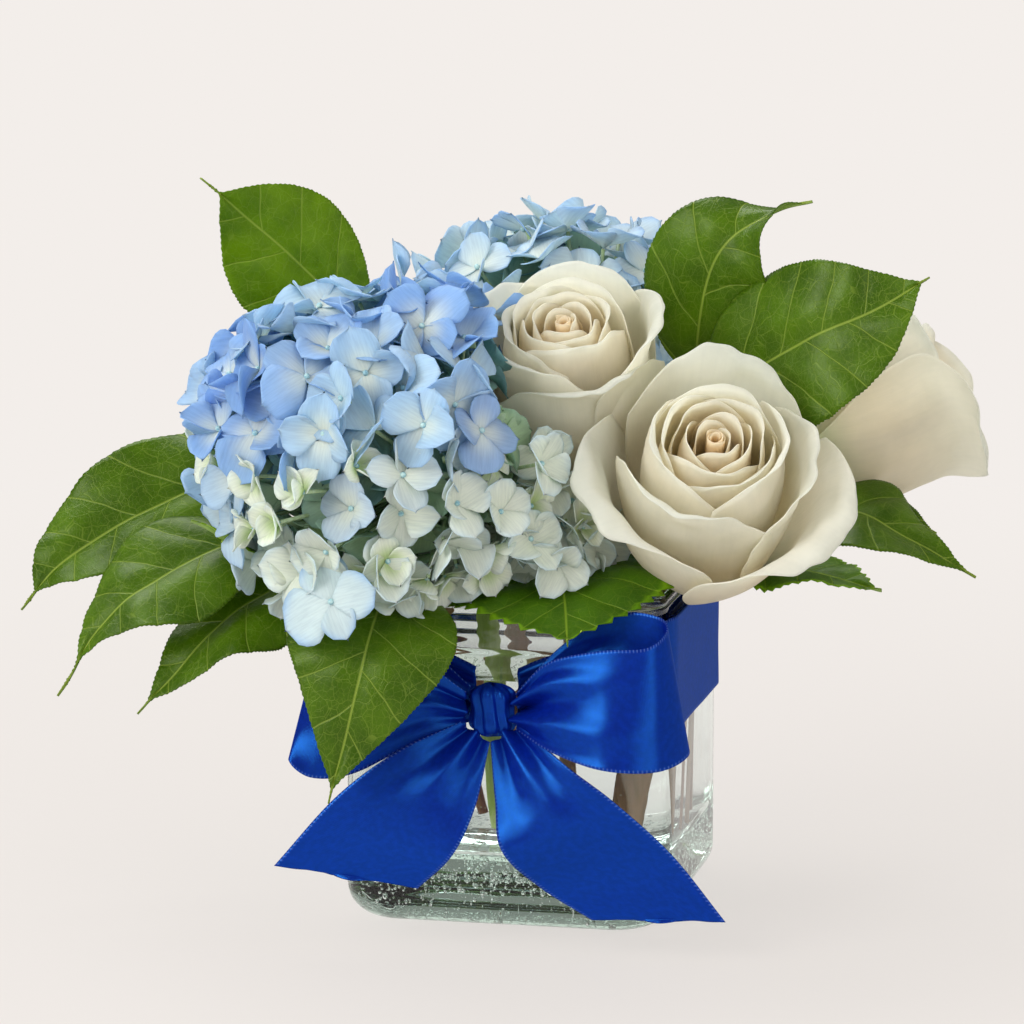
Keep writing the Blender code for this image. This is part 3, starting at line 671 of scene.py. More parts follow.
# Salal leaves. The midribs' points are in millimetres, as in the CAD model.
SALAL = {
    "leaf_upper_left": dict(
        knots=[(-51, 32, 161), (-66, 22, 180), (-83, 10, 200), (-104, -8, 223)], face=(0.25, -0.9, 0.35),
        half_width=21.5, peak=0.60, fold=(0.10, 0.16), wave=(0.8, 1.5, 0.4), tail=0.08),
    "leaf_left_small": dict(
        knots=[(-52, 28, 146), (-70, 22, 163), (-88, 16, 166), (-103, 8, 152)], face=(-0.2, -0.8, 0.6),
        half_width=14),
    "leaf_far_left": dict(
        knots=[(-50, 24, 128), (-85, 8, 131), (-122, -12, 118), (-145, -26, 103), (-155, -34, 90)],
        face=(-0.15, -0.75, 0.7), half_width=21, peak=0.45, fold=(0.05, 0.40), wave=(3.4, 2.3, 1.0),
        tip_power=1.3, tail=0.11),
    "leaf_left": dict(
        knots=[(-60, -7, 116), (-85, -30, 114), (-106, -46, 105), (-122, -57, 91), (-134, -65, 70)],
        face=(-0.25, -0.75, 0.65), half_width=20, peak=0.46, tip_power=1.35, wave=(3.4, 1.9, 2.4),
        tail=0.13),
    "leaf_left_low": dict(
        knots=[(-57, -14, 111), (-74, -32, 100), (-91, -46, 88), (-111, -58, 64)], face=(-0.3, -0.8, 0.5),
        half_width=18, peak=0.45, tip_power=1.25, wave=(2.8, 2.4, 0.5), tail=0.05),
    "leaf_front_left": dict(
        knots=[(-32, -46, 110), (-32, -72, 103), (-34, -88, 85), (-43, -89, 47)], face=(0.05, -0.95, 0.3),
        half_width=25.5, peak=0.44, tip_power=1.2, fold=(0.12, 0.30), droop=(0.2, 0.55),
        wave=(2.0, 1.6, 0.6)),
    "leaf_upper_right": dict(
        knots=[(49, 17, 154), (50, 8, 176), (56, 0, 199), (68, -1, 213), (86, 2, 220)],
        face=(-0.10, -0.92, 0.38), half_width=21, tip_power=1.35, twist=1.5, wave=(2.0, 1.6, 0.0)),
    "leaf_right": dict(
        knots=[(54, 12, 145), (68, -8, 166), (88, -20, 180), (108, -22, 190), (125, -17, 200)],
        face=(-0.10, -0.92, 0.40), half_width=25, fold=(0.22, 0.10), wave=(2.0, 1.7, 2.4)),
    "leaf_lower_right": dict(
        knots=[(78, 14, 121), (95, 8, 124), (112, 1, 119), (138, 0, 106)], face=(0.1, -0.45, 0.9),
        half_width=17, wave=(2.4, 1.6, 1.0), tip_power=1.2),
    "leaf_right_small": dict(
        knots=[(79, 20, 122), (90, 26, 126), (106, 29, 122), (122, 26, 114)], face=(0.1, -0.4, 0.9),
        half_width=8),
}

# Hydrangea leaves: broader, with coarse forward teeth.
HYDRANGEA_LEAVES = {
    "hydrangea_leaf_front": dict(
        knots=[(8, -10, 106), (14, -32, 110), (21, -55, 107), (26, -73, 94)], face=(0.0, -0.35, 0.95),
        half_width=40, peak=0.42, fold=(0.05, 0.05), droop=(0.12, 0.12), tip_power=0.95, teeth=(24, 4.2)),
    "hydrangea_leaf_right": dict(
        knots=[(53, -2, 105.5), (72, -14, 109), (92, -24, 110), (114, -34, 108)], face=(0.1, -0.25, 1),
        half_width=15, teeth=(24, 1.5)),
    "hydrangea_leaf_left": dict(
        knots=[(-37, -33, 106), (-54, -45, 108), (-72, -54, 113), (-93, -61, 125)], face=(0.2, 0.3, 1),
        half_width=13, teeth=(24, 1.5)),
    "hydrangea_leaf_back_left": dict(
        knots=[(-8, 24, 106), (-24, 50, 112), (-40, 72, 109), (-54, 88, 96)], face=(-0.2, 0.5, 0.9),
        half_width=27, teeth=(28, 1.6)),
    "hydrangea_leaf_back_right": dict(
        knots=[(18, 38, 107), (36, 58, 114), (54, 74, 111), (72, 88, 98)], face=(0.2, 0.5, 0.9),
        half_width=27, teeth=(28, 1.6)),
}

# The leaf that the light behind it shines through is tinted brighter.
BACKLIT_LEAF = "leaf_upper_left"
BACKLIT_TINT = (4.0, 3.3, 1.0)


# ------------------------------------------------------------------ ribbon

RIBBON_WIDTH = 38 * MM


def nearness(share, reach):
    """1 where the share is 0, falling to 0 where it gets to `reach`."""
    return np.maximum(1 - share / max(reach, 1e-6), 0) ** 1.3


def ribbon_flat(run, v):
    """Flat coordinates of a ribbon: metres along it and metres across it."""
    return np.stack(np.broadcast_arrays(run[:, None], v[None, :] * RIBBON_WIDTH / 2), axis=-1)


def ribbon_grid(stations, pleats):
    """A strip between stations of (centre, half-width vector), in millimetres; gives also its length.

    Each pleat is (place across, -1 to 1; width; height in millimetres; share of the length where it fades,
    from the start and from the end).
    """
    rows, columns = 150, 41
    u = np.linspace(0, 1, rows)
    centre = through([c for c, h in stations], u) * MM
    half = through([h for c, h in stations], u) * MM
    v = np.linspace(-1, 1, columns)
    points = centre[:, None, :] + half[:, None, :] * v[None, :, None]
    du = np.gradient(points, axis=0)
    normal = unit(np.cross(du, half[:, None, :] + 0 * points))
    lift = np.zeros(points.shape[:2])
    for place, width, height, fade_in, fade_out in pleats:
        along = nearness(u, fade_in) + nearness(1 - u, fade_out)
        lift += height * MM * along[:, None] * np.exp(-((v[None, :] - place) / width) ** 2)
    run = np.concatenate([[0], np.cumsum(np.linalg.norm(np.diff(centre, axis=0), axis=1))])
    return points + normal * lift[..., None], ribbon_flat(run, v), run[-1]


def lay_ribbon(node, points, flat, length, held, rests_on, material):
    patches = Patches()
    patches.add(points, flat)
    ribbon = patches.build(node + "_piece")
    finish_piece(ribbon, "ribbon", node, materials=[material], thickness=RIBBON_THICKNESS)


def build_ribbon_band(material):
    """The band round the vase, gathered into folds as it comes to the knot."""
    clearance = 1.05 * MM
    ring = square_ring(VASE_HALF + clearance, CORNER + clearance, 0.0, steps=16)
    start = np.argmin(np.abs(ring[:, 0]) + (ring[:, 1] > 0))
    ring = np.roll(ring, -start, axis=0)
    closed = np.vstack([ring, ring[:1]])
    run = np.concatenate([[0], np.cumsum(np.linalg.norm(np.diff(closed, axis=0), axis=1))])
    total = run[-1]
    half_gap = 6.5 * MM
    rows, columns = 420, 37
    distance = np.linspace(half_gap, total - half_gap, rows)
    path = np.stack([np.interp(distance, run, closed[:, k]) for k in range(3)], axis=1)
    ahead = unit(np.gradient(path, axis=0))
    outward = np.cross(ahead, UP)
    from_knot = np.minimum(distance, total - distance)
    spread = np.minimum(from_knot / (55 * MM), 1.0) ** 0.8
    half = RIBBON_WIDTH / 2 * (0.32 + 0.62 * spread)
    height = (72 + 7.5 * np.sin(spread * math.pi / 2)) * MM
    v = np.linspace(-1, 1, columns)
    points = path[:, None, :] + UP * (height[:, None] + half[:, None] * v)[..., None]
    gather = (1 - spread)[:, None]
    folds = np.sin(v[None, :] * 9 + 1.0) * 0.9 + np.sin(v[None, :] * 17) * 0.4
    slack = ripple(points, 34 * MM, 17) * 0.5
    lift = (gather * (0.8 + folds) + (slack + 0.5) * 0.35) * MM
    points = points + outward[:, None, :] * np.maximum(lift, -0.1 * MM)[..., None]
    flat = ribbon_flat(distance, v)
    lay_ribbon("ribbon_band", points, flat, total - 2 * half_gap, "gathered", "glass_vase", material)


def build_ribbon_knot(material):
    """The knot: a tight wrap of the ribbon with upright pleats."""
    centre = mm(0.5, -61.5, 71.5)
    height, width, depth = 8.0 * MM, 7.6 * MM, 5.6 * MM
    rows, columns = 72, 90
    t = np.linspace(-1, 1, rows)
    turn = np.linspace(0, 2 * math.pi, columns, endpoint=False)
    bulge = (1 - np.abs(t) ** 3.2)[:, None] ** 0.5 * (0.92 - 0.12 * np.cos(t * math.pi))[:, None]
    coarse = np.sin(turn * 7 + t[:, None] * 1.3) * bulge
    fine = np.sin(turn * 13 + t[:, None] * 2.1)
    pleat = 1 + 0.10 * coarse + 0.05 * fine
    x = width * bulge * np.cos(turn) * pleat
    y = depth * bulge * np.sin(turn) * pleat
    z = height * t[:, None] * (1 + 0.05 * np.cos(turn * 3))
    points = centre + np.stack([x, y, np.broadcast_to(z, x.shape)], axis=-1)
    flat = np.stack(np.broadcast_arrays(turn * width, t[:, None] * height), axis=-1)
    patches = Patches()
    patches.add_closed(points, flat)
    finish_piece(patches.build("ribbon_knot_piece"), "ribbon", "ribbon_knot", materials=[material])


# The bow's strips: name, how it is held, its stations and its pleats, as ribbon_grid takes them.
RIBBON_STRIPS = (
    ("ribbon_right_loop", "folded", (
        ((8.0, -63.5, 71.5), (0, 0, 5.5)),
        ((20, -71, 75), (-1, 3, 13.0)),
        ((37, -77, 76), (-1.5, 5, 17.0)),
        ((52, -75, 76.5), (-2.5, 3, 18.0)),
        ((58, -66, 80), (-3.5, 0, 18.4)),
        ((53, -59.5, 83.5), (-2, 0, 18)),
        ((38, -57, 84.5), (0, 0, 17)),
        ((22, -56.6, 79), (0, 0, 13)),
        ((8.0, -57.5, 72), (0, 0, 5.5))),
     ((0.50, 0.17, 2.6, 0.36, 0.3), (0.12, 0.20, -5.0, 0.26, 0.3), (-0.38, 0.20, 2.8, 0.42, 0.3),
      (0.80, 0.12, -1.6, 0.28, 0.2), (-0.85, 0.12, -1.2, 0.35, 0.2))),
    ("ribbon_left_loop", "folded", (
        ((-7.0, -63.5, 71.5), (0, 0, 5.5)),
        ((-20, -68.5, 74.5), (0, 0, 12)),
        ((-38, -71, 70), (2, 0, 18)),
        ((-50, -70, 67.5), (3, 3, 17)),
        ((-58, -64, 69), (2, 8, 13.5)),
        ((-54, -58.5, 72), (1, 4, 15)),
        ((-38, -57, 73), (0, 0, 17)),
        ((-20, -56.6, 75), (0, 0, 12)),
        ((-7.0, -57.5, 72), (0, 0, 5.5))),
     ((0.4, 0.16, 2.2, 0.36, 0.3), (-0.05, 0.14, -2.4, 0.34, 0.3), (-0.5, 0.18, 1.8, 0.40, 0.3))),
    ("ribbon_left_tail", "hung", (
        ((-4.0, -64.5, 65), (-4.5, 0, 3.0)),
        ((-14, -74, 52), (-12, 0, 8)),
        ((-26, -78, 38), (-18, 1, 8)),
        ((-41, -78, 21.5), (-22, -1, 2.6))),
     ((0.45, 0.22, 2.4, 0.60, 0.0), (-0.05, 0.2, -2.2, 0.55, 0.0), (-0.55, 0.22, 1.8, 0.5, 0.0))),
    ("ribbon_right_tail", "hung", (
        ((5.0, -64, 65), (4.5, 0, 3.0)),
        ((15, -73, 52), (11.5, -2, 6)),
        ((24, -77, 40), (17, 1, 8)),
        ((38, -73, 26), (20, 0, 6)),
        ((54, -74, 12), (20.5, -1, 1.0))),
     ((0.5, 0.22, -2.2, 0.55, 0.0), (0.05, 0.2, 2.6, 0.6, 0.0), (-0.5, 0.22, -2.0, 0.55, 0.0))),
)


# ------------------------------------------------------------------ roses

def petal_grid(axes, base, azimuth, rim_radius, rim_height, belly, half_width, roll, roll_length, foot=4.0,
               flat_share=1.2, corner_drop=0.24, point=0.0, rows=56, columns=57, seed=0, rough=0.9,
               side_roll=0.0):
    """One petal: a cupped blade from the flower's foot out to its belly and up to a rolled rim.

    Sizes are in millimetres and roll in degrees. A larger flat_share makes the petal less round across,
    corner_drop lowers its upper corners and point raises its middle.
    """
    level, upper, ahead = axes
    u = np.linspace(0, 1, rows)
    v = np.linspace(-1, 1, columns)
    p0, p1 = np.array((foot, 0.0)), np.array((belly * 1.02, rim_height * 0.10))
    p2, p3 = np.array((belly, rim_height * 0.72)), np.array((rim_radius, rim_height))
    dense = np.linspace(0, 1, 80)[:, None]
    profile = (p0 * (1 - dense) ** 3 + p1 * 3 * dense * (1 - dense) ** 2
               + p2 * 3 * dense ** 2 * (1 - dense) + p3 * dense ** 3)
    heading = math.atan2(p3[0] - p2[0], p3[1] - p2[1])
    steps = 30
    turn = heading + np.linspace(0, 1, steps) ** 1.3 * math.radians(roll)
    curl = np.stack([np.sin(turn), np.cos(turn)], axis=1) * roll_length / steps
    profile = np.vstack([profile, p3 + np.cumsum(curl, axis=0)])
    run = np.concatenate([[0], np.cumsum(np.linalg.norm(np.diff(profile, axis=0), axis=1))])
    length = run[-1]
    top = 1 - corner_drop * np.abs(v) ** 3.0 + point * np.exp(-(v / 0.16) ** 2)
    along = u[:, None] * top[None, :] * length / (1 + point)
    r = np.interp(along, run, profile[:, 0])
    z = np.interp(along, run, profile[:, 1])
    share = along / length
    spread = 0.30 + 0.70 * np.sin(np.minimum(share / 0.62, 1.0) * math.pi / 2)
    width = half_width * spread * (1 - 0.16 * smooth(0.7, 1.0, share))
    bend = r * flat_share + 1.0
    angle = np.clip(width * v[None, :] / bend, -3.0, 3.0)
    out = (r - bend) + bend * np.cos(angle)
    across = bend * np.sin(angle)
    edge = smooth(0.55, 1.0, np.abs(v))[None, :] * smooth(0.25, 0.8, share)
    out = out + side_roll * edge
    place = np.stack([out, across, z], axis=-1)
    rough_waves = ripple(place, 17.0, seed, 2) * rough * (0.3 + 1.3 * smooth(0.55, 1.0, share))
    frill = ripple(place * (0.2, 1.0, 0.2) + seed, 7.0, seed + 9, 2) * smooth(0.86, 1.0, share)
    out = out + rough_waves + frill * rough * 0.4
    z = z + ripple(place + 40.0, 15.0, seed + 5, 2) * rough * 0.9 * smooth(0.7, 1.0, share)
    a = math.radians(azimuth)
    outward = level * math.cos(a) + upper * math.sin(a)
    sideways = -level * math.sin(a) + upper * math.cos(a)
    points = base + (out[..., None] * outward + across[..., None] * sideways + z[..., None] * ahead) * MM
    flat = np.stack([along * MM, np.broadcast_to(width * v[None, :], along.shape) * MM], axis=-1)
    return points, flat, share


# Colours of the rose petals
CREAM = np.array((0.936, 0.942, 0.900))
# A less yellow rim colour that is also darker than the cream: painted shade that dims the highlights on the
# lit rims.
RIM_COLOUR_AND_SHADE = np.array((0.865, 0.890, 0.860))
PEACH = np.array((1.00, 0.87, 0.66))
PALE_GREEN = np.array((0.86, 0.91, 0.74))


def petal_tint(share, warmth):
    """Cream with a peach glow deeper in the flower, a green foot and a less yellow rim, darkened as painted
    shade.
    """
    share = share[..., None]
    colour = CREAM * (1 - warmth) + PEACH * warmth
    colour = colour + (PEACH - colour) * 0.30 * (1 - smooth(0.35, 0.85, share))
    colour = colour + (PALE_GREEN - colour) * 0.65 * (1 - smooth(0.04, 0.28, share))
    return colour + (RIM_COLOUR_AND_SHADE - colour) * 0.6 * smooth(0.86, 1.0, share)


def rose_heart(patches, axes, base, radius, height, count, seed):
    """The inner petals: a scroll, then petals that wrap it, each a little wider and looser."""
    level, upper, ahead = axes
    source = np.random.default_rng(seed)
    turn = np.linspace(0, 2.4 * 2 * math.pi, 110)
    wrap = 1.0 + 0.62 * turn / (2 * math.pi)
    rows = np.linspace(0, 1, 12)
    top = height * (0.955 + 0.012 * np.sin(turn * 1.3))
    r = wrap[None, :] * (1 + 0.25 * rows[:, None])
    z = top[None, :] * (0.55 + 0.45 * rows[:, None])
    outward = np.cos(turn)[None, :, None] * level + np.sin(turn)[None, :, None] * upper
    scroll = base + (r[..., None] * outward + z[..., None] * ahead) * MM
    share = np.broadcast_to(0.5 + 0.42 * rows[:, None], r.shape)
    flat = np.stack([z * MM, np.broadcast_to(turn[None, :] * 1.5, z.shape) * MM], axis=-1)
    patches.add(scroll, flat, petal_tint(share, 0.85))
    for i in range(count):
        t = (i + 0.5) / count
        rim = 3.2 + (radius - 3.2) * t ** 0.95
        azimuth = 137.5 * i + source.uniform(-18, 18)
        rise = height * (0.95 - 0.02 * t + source.uniform(-0.012, 0.012))
        points, flat, share = petal_grid(
            axes, base, azimuth, rim_radius=rim * 0.97, rim_height=rise, belly=rim * 1.10 + 1.2,
            half_width=rim * (1.85 - 0.40 * t), roll=30 + 60 * t, roll_length=1.4 + 3.2 * t,
            foot=1.5 + 2.5 * t, flat_share=1.0 + 0.08 * t, corner_drop=0.13, point=0.012 * source.uniform(),
            rows=26, columns=31, seed=seed + i, rough=0.45 + 0.45 * t)
        patches.add(points, flat, petal_tint(share, 0.72 - 0.55 * t))


# Outer petals, from the innermost: azimuth (0 is level, 90 the upper side), rim radius, rim height, belly,
# half width, roll (degrees), roll length, side roll; sizes in millimetres.
ROSE_FRONT_PETALS = (
    (78, 30, 54, 26, 32, 75, 7, 0.0),
    (238, 25, 55, 25, 32, 100, 6, 0.5),
    (352, 28, 52, 26, 30, 70, 6, -0.5),
    (203, 34, 47, 28, 36, 120, 11, 0.5),
    (322, 37, 44, 29, 38, 110, 11, 0.5),
)
ROSE_MIDDLE_PETALS = (
    (85, 25, 50, 24, 29, 75, 6, 0.0),
    (235, 23, 51, 23, 28, 90, 6, 0.5),
    (0, 26, 50, 24, 29, 80, 8, 0.0),
    (165, 26, 48, 26, 30, 85, 7, 0.5),
    (295, 26, 44, 27, 32, 110, 9, 0.5),
)
ROSE_RIGHT_PETALS = (
    (30, 19, 43, 19, 24, 50, 5, 0.0),
    (265, 20, 42, 20, 26, 60, 6, 0.0),
    (110, 22, 41, 22, 28, 70, 7, 0.0),
    (330, 24, 38, 24, 29, 80, 8, 0.5),
    (204, 25, 34, 25, 30, 135, 21, 1.5),
)


# Each rose: name, base, top of the heart, heart radius, inner petals, outer petals
ROSES = (
    ("rose_front", (55, -14, 114), (68, -59, 158), 21, 14, ROSE_FRONT_PETALS),
    ("rose_middle", (14, 1, 139), (15, -28, 187), 19, 13, ROSE_MIDDLE_PETALS),
    ("rose_right", (80, 28, 139), (121, 55, 160), 17, 12, ROSE_RIGHT_PETALS),
)


def build_rose(name, base, top, radius, inner, outer, material, seed):
    """A rose: its heart and inner petals as one piece, and each outer petal as its own."""
    base, top = mm(*base), mm(*top)
    height = np.linalg.norm(top - base) / MM
    axes = axes_of(top - base)
    heart = Patches()
    rose_heart(heart, axes, base, radius, height, inner, seed)
    finish_piece(heart.build(name + "_heart_petals"), "rose", name + "_heart", materials=[material],
                 thickness=INNER_PETAL_THICKNESS)
    for layer, (*shape, side_roll) in enumerate(outer, 1):
        points, flat, share = petal_grid(axes, base, *shape, foot=4.6 + 1.2 * layer, seed=seed + 40 + layer,
                                         side_roll=side_roll)
        petal = Patches()
        petal.add(points, flat, petal_tint(share, 0.10))
        finish_piece(petal.build(f"{name}_outer_petal_{layer}"), "rose", f"{name}_petal_{layer}",
                     materials=[material], thickness=OUTER_PETAL_THICKNESS)


# ------------------------------------------------------------------ hydrangeas

# Colours of the sepals, from blue to green, and the painted shade that darkens the florets inside the head
SKY = np.array((0.33, 0.56, 0.88))
DEEP = np.array((0.19, 0.39, 0.80))
MIST = np.array((0.58, 0.77, 0.91))
CREAM_WHITE = np.array((0.93, 0.955, 0.84))
LIME = np.array((0.62, 0.76, 0.36))
INNER_PAINTED_SHADE = np.array((0.58, 0.74, 0.54))

# The side of the arrangement that is its front
FRONTWARD = np.array((0.208, -0.961, 0.18))


def sepal_grid(centre, normal, direction, length, half_width, lift, cup, bend, twist, seed):
    """One sepal: a round blade with a soft point, cupped across, bent along and twisted a little."""
    sideways = np.cross(normal, direction)
    u = np.linspace(0, 1, 9)
    v = np.linspace(-1, 1, 8)
    outline = 2 * np.sqrt(np.clip(u * (1 - u), 0, 1)) ** 0.92 * (0.42 + 0.58 * smooth(0.0, 0.55, u))
    across = half_width * outline[:, None] * v[None, :]
    reach = length * (u[:, None] + 0.05 * smooth(0.8, 1.0, u)[:, None] * np.exp(-(v[None, :] / 0.3) ** 2))
    rise = cup * (across / half_width) ** 2 * length * 0.40 + bend * length * (reach / length) ** 2
    roll = twist * u[:, None]
    rise, across = rise + across * np.sin(roll), across * np.cos(roll)
    forward = reach * math.cos(lift) - rise * math.sin(lift)
    up = reach * math.sin(lift) + rise * math.cos(lift)
    points = centre + direction * forward[..., None] + sideways * across[..., None] + normal * up[..., None]
    waves = ripple(points, 11 * MM, seed, 2) * 0.7 * MM * u[:, None]
    flat = np.stack(np.broadcast_arrays(u[:, None] * length, half_width * outline[:, None] * v), axis=-1)
    return points + normal * waves[..., None], flat, u


def add_floret(sepals, beads, centre, normal, size, source, look):
    """Four sepals round a small bead, with a chance tilt, turn and size for each."""
    inner, outer, rim, closing = look
    helper = unit(np.cross(normal, UP + 0.01))
    other = np.cross(normal, helper)
    start = source.uniform(0, 2 * math.pi)
    for k in range(4):
        angle = start + k * math.pi / 2 + source.uniform(-0.16, 0.16)
        direction = unit(helper * math.cos(angle) + other * math.sin(angle))
        length = size * source.uniform(0.84, 1.10) * (1.0 if k % 2 else 0.92)
        lift = math.radians(closing + source.uniform(-20, 26))
        points, flat, u = sepal_grid(
            centre + normal * 0.35 * MM * (k % 2), normal, direction, length,
            half_width=length * source.uniform(0.42, 0.54), lift=lift, cup=source.uniform(-0.2, 1.0),
            bend=source.uniform(-0.42, 0.12), twist=source.uniform(-0.35, 0.35),
            seed=int(source.integers(1 << 30)))
        edge = np.abs(np.linspace(-1, 1, points.shape[1]))[None, :, None]
        outwards = np.clip(u[:, None, None] * 0.75 + edge ** 2 * 0.35, 0, 1)
        tint = inner + (outer - inner) * smooth(0.10, 0.62, outwards)
        tint = tint + (rim - tint) * smooth(0.55, 1.0, outwards)
        tint = tint * source.uniform(0.94, 1.05)
        sepals.add(points, flat, np.clip(tint, 0, 1))
    bead = ball_rings(helper, other, normal, 80, 6, 8)
    beads.add_closed(centre + normal * 0.9 * MM + bead * 0.95 * MM)


def floret_places(centre, stem_way, facing, radius, flatten, counts, keep_out, source):
    """Places on a dome and on a layer inside it, each with its outward direction and its painted shade: 1,
    or the darker tint of the inner layer.
    """
    level, upper, ahead = axes_of(facing)
    jitter = 4.0 * MM
    places = []
    for number, share, shade in ((counts[0], 1.0, 1.0), (counts[1], 0.72, INNER_PAINTED_SHADE)):
        for i in range(number):
            cos_tilt = 1 - 1.80 * (i + 0.5) / number
            sin_tilt = math.sqrt(max(0.0, 1 - cos_tilt ** 2))
            angle = GOLDEN * i
            direction = (level * math.cos(angle) * sin_tilt + upper * math.sin(angle) * sin_tilt
                         + ahead * cos_tilt)
            under = smooth(0.15, 1.0, -float(direction @ stem_way))
            distance = radius * share * (1 - 0.30 * under) + source.uniform(-jitter, jitter)
            place = centre + direction * distance * (1.0, 1.0, flatten if direction[2] > 0 else 1.0)
            if not any(np.linalg.norm((place - c) @ shape) < 1 for c, shape in keep_out):
                places.append((place, direction, shade))
    return places


def build_head(name, centre, fork, facing, radius, flatten, counts, look_at, keep_out, size, materials, seed,
               extras=(), hanging=None):
    """A mophead: its florets, with any extra ones in millimetres, and the stalks that carry them."""
    source = np.random.default_rng(seed)
    sepal_look, bead_look, stalk_look = materials
    stem_way = unit(centre - fork)
    places = floret_places(centre, stem_way, facing, radius, flatten, counts, keep_out, source)
    for extra in extras:
        place = mm(*extra)
        places.append((place, unit(unit(place - centre) * 0.5 + FRONTWARD), 1.0))
    if hanging:
        places.append((mm(*hanging), FRONTWARD, 1.0))
    outer, inner, beads, stalks = Patches(), Patches(), Patches(), Patches()
    for place, direction, shade in places:
        scale, *look = look_at(place, source)
        if direction is FRONTWARD:
            scale, *look = HANGING_LOOK
            normal = unit(direction + (-0.15, 0.0, 0.12))
        else:
            normal = unit(direction + source.normal(size=3) * 0.50)
        # Painted shade: the inner layer's colours are darkened by multiplying them with the inner tint.
        look[:3] = [colour * shade for colour in look[:3]]
        add_floret(inner if shade is INNER_PAINTED_SHADE else outer, beads, place, normal, size * scale, source, look)
        middle = (fork + place) / 2 - stem_way * 3 * MM
        knots = [fork + direction * 2 * MM, middle, place - normal * 0.4 * MM]
        add_tube(stalks, through(knots, np.linspace(0, 1, 7)), 0.65 * MM, 6, (0.42, 0.55, 0.36))
    for layer, sepals in (("outer", outer), ("inner", inner)):
        finish_piece(sepals.build(f"{name}_{layer}_sepals"), "hydrangea", name + "_head",
                     materials=[sepal_look], thickness=SEPAL_THICKNESS)
    finish_piece(beads.build(name + "_beads"), "hydrangea", materials=[bead_look])
    finish_piece(stalks.build(name + "_stalks"), "stem", materials=[stalk_look])


def ellipsoid(centre, axis, across, along):
    """A keep-out egg as a centre and a matrix that turns it into a unit ball."""
    level, upper, ahead = axes_of(axis)
    return centre, np.stack([level / across, upper / across, ahead / along], axis=1)


FRONT_HEAD = mm(-36, -42, 155)
FRONT_FORK = FRONT_HEAD - unit((-0.45, -0.55, 0.70)) * 24 * MM
FRONT_FACING = np.array((-0.15, -0.85, 0.42))
BACK_HEAD = mm(8, 57, 167)
BACK_FORK = BACK_HEAD - unit((0.10, 0.45, 0.88)) * 24 * MM
BACK_FACING = np.array((0.0, 0.30, 0.95))


# Florets that fill the front head's lower right, and the one that hangs below it, in millimetres.
LOW_FLORETS = (
    (-52, -84, 116), (-28, -89, 117), (14, -46, 136), (20, -47, 127), (13, -52, 118), (4, -58, 126),
    (24, -30, 125), (27, -37, 117), (18, -28, 116), (20, -40, 132), (24, -44, 125), (12, -62, 124),
    (19, -56, 117), (-2, -62, 115), (-13, -68, 113), (9, -42, 112), (-24, -72, 112), (2, -48, 110),
    (22, -40, 118), (-6, -74, 124),
)
HANGING_FLORET = (-41, -94, 109)

# A floret's look is its size, its inner, outer and rim colour, and how far it is closed, in degrees.
HANGING_LOOK = (
    1.04, CREAM_WHITE * 0.5 + MIST * 0.5, MIST * 0.6 + CREAM_WHITE * 0.4, SKY * 0.5 + MIST * 0.5, 12,
)


def front_look(place, source):
    """Blue on the left and above, creamy green to white low on the right."""
    x, _, z = place / MM
    slope = (x + 38) * 0.36 - (z - 147) * 0.90
    pale = float(smooth(-8, 16, slope + source.uniform(-9, 9)) * smooth(-92, -66, x))
    patch = float(smooth(-0.55, 0.55, ripple(place, 52 * MM, 31)))
    blue = MIST + (SKY - MIST) * patch
    blue = blue + (DEEP - blue) * 0.65 * source.uniform() * patch
    rim = blue + (SKY - blue) * 0.4
    outer = blue + (CREAM_WHITE - blue) * pale * 0.9
    rim = rim + (MIST * 0.5 + CREAM_WHITE * 0.5 - rim) * pale * 0.9
    inner = outer + (CREAM_WHITE - outer) * (0.45 + 0.45 * source.uniform())
    if source.uniform() < 0.10 + 0.22 * pale:
        return 0.66, LIME, CREAM_WHITE, CREAM_WHITE * 0.7 + MIST * 0.3, 38
    return 1.0 - 0.20 * pale, inner, outer, rim, 14 + 16 * pale


def back_look(_, source):
    """An even pale blue, wherever the floret is."""
    blue = MIST + (SKY - MIST) * source.uniform(0.0, 0.7)
    inner = blue + (CREAM_WHITE - blue) * 0.75
    return 0.98, inner, blue * 0.62 + CREAM_WHITE * 0.38, blue * 0.8 + SKY * 0.2, 18


# ------------------------------------------------------------------ stage

BACKDROP = (0.896, 0.855, 0.823)

# The floor is paper mixed with a glow: the glow has the LEAST_GLOW share beside the vase, painted light that
# lightens the shadows there, and grows from the first distance from the vase to its full strength at the
# second.
GLOW_STARTS = 0.12
GLOW_IS_FULL = 0.75
LEAST_GLOW = 0.72
FLOOR_HALF = 12.0

# How much weaker the backdrop is in reflections
REFLECTION_CUT = 0.74


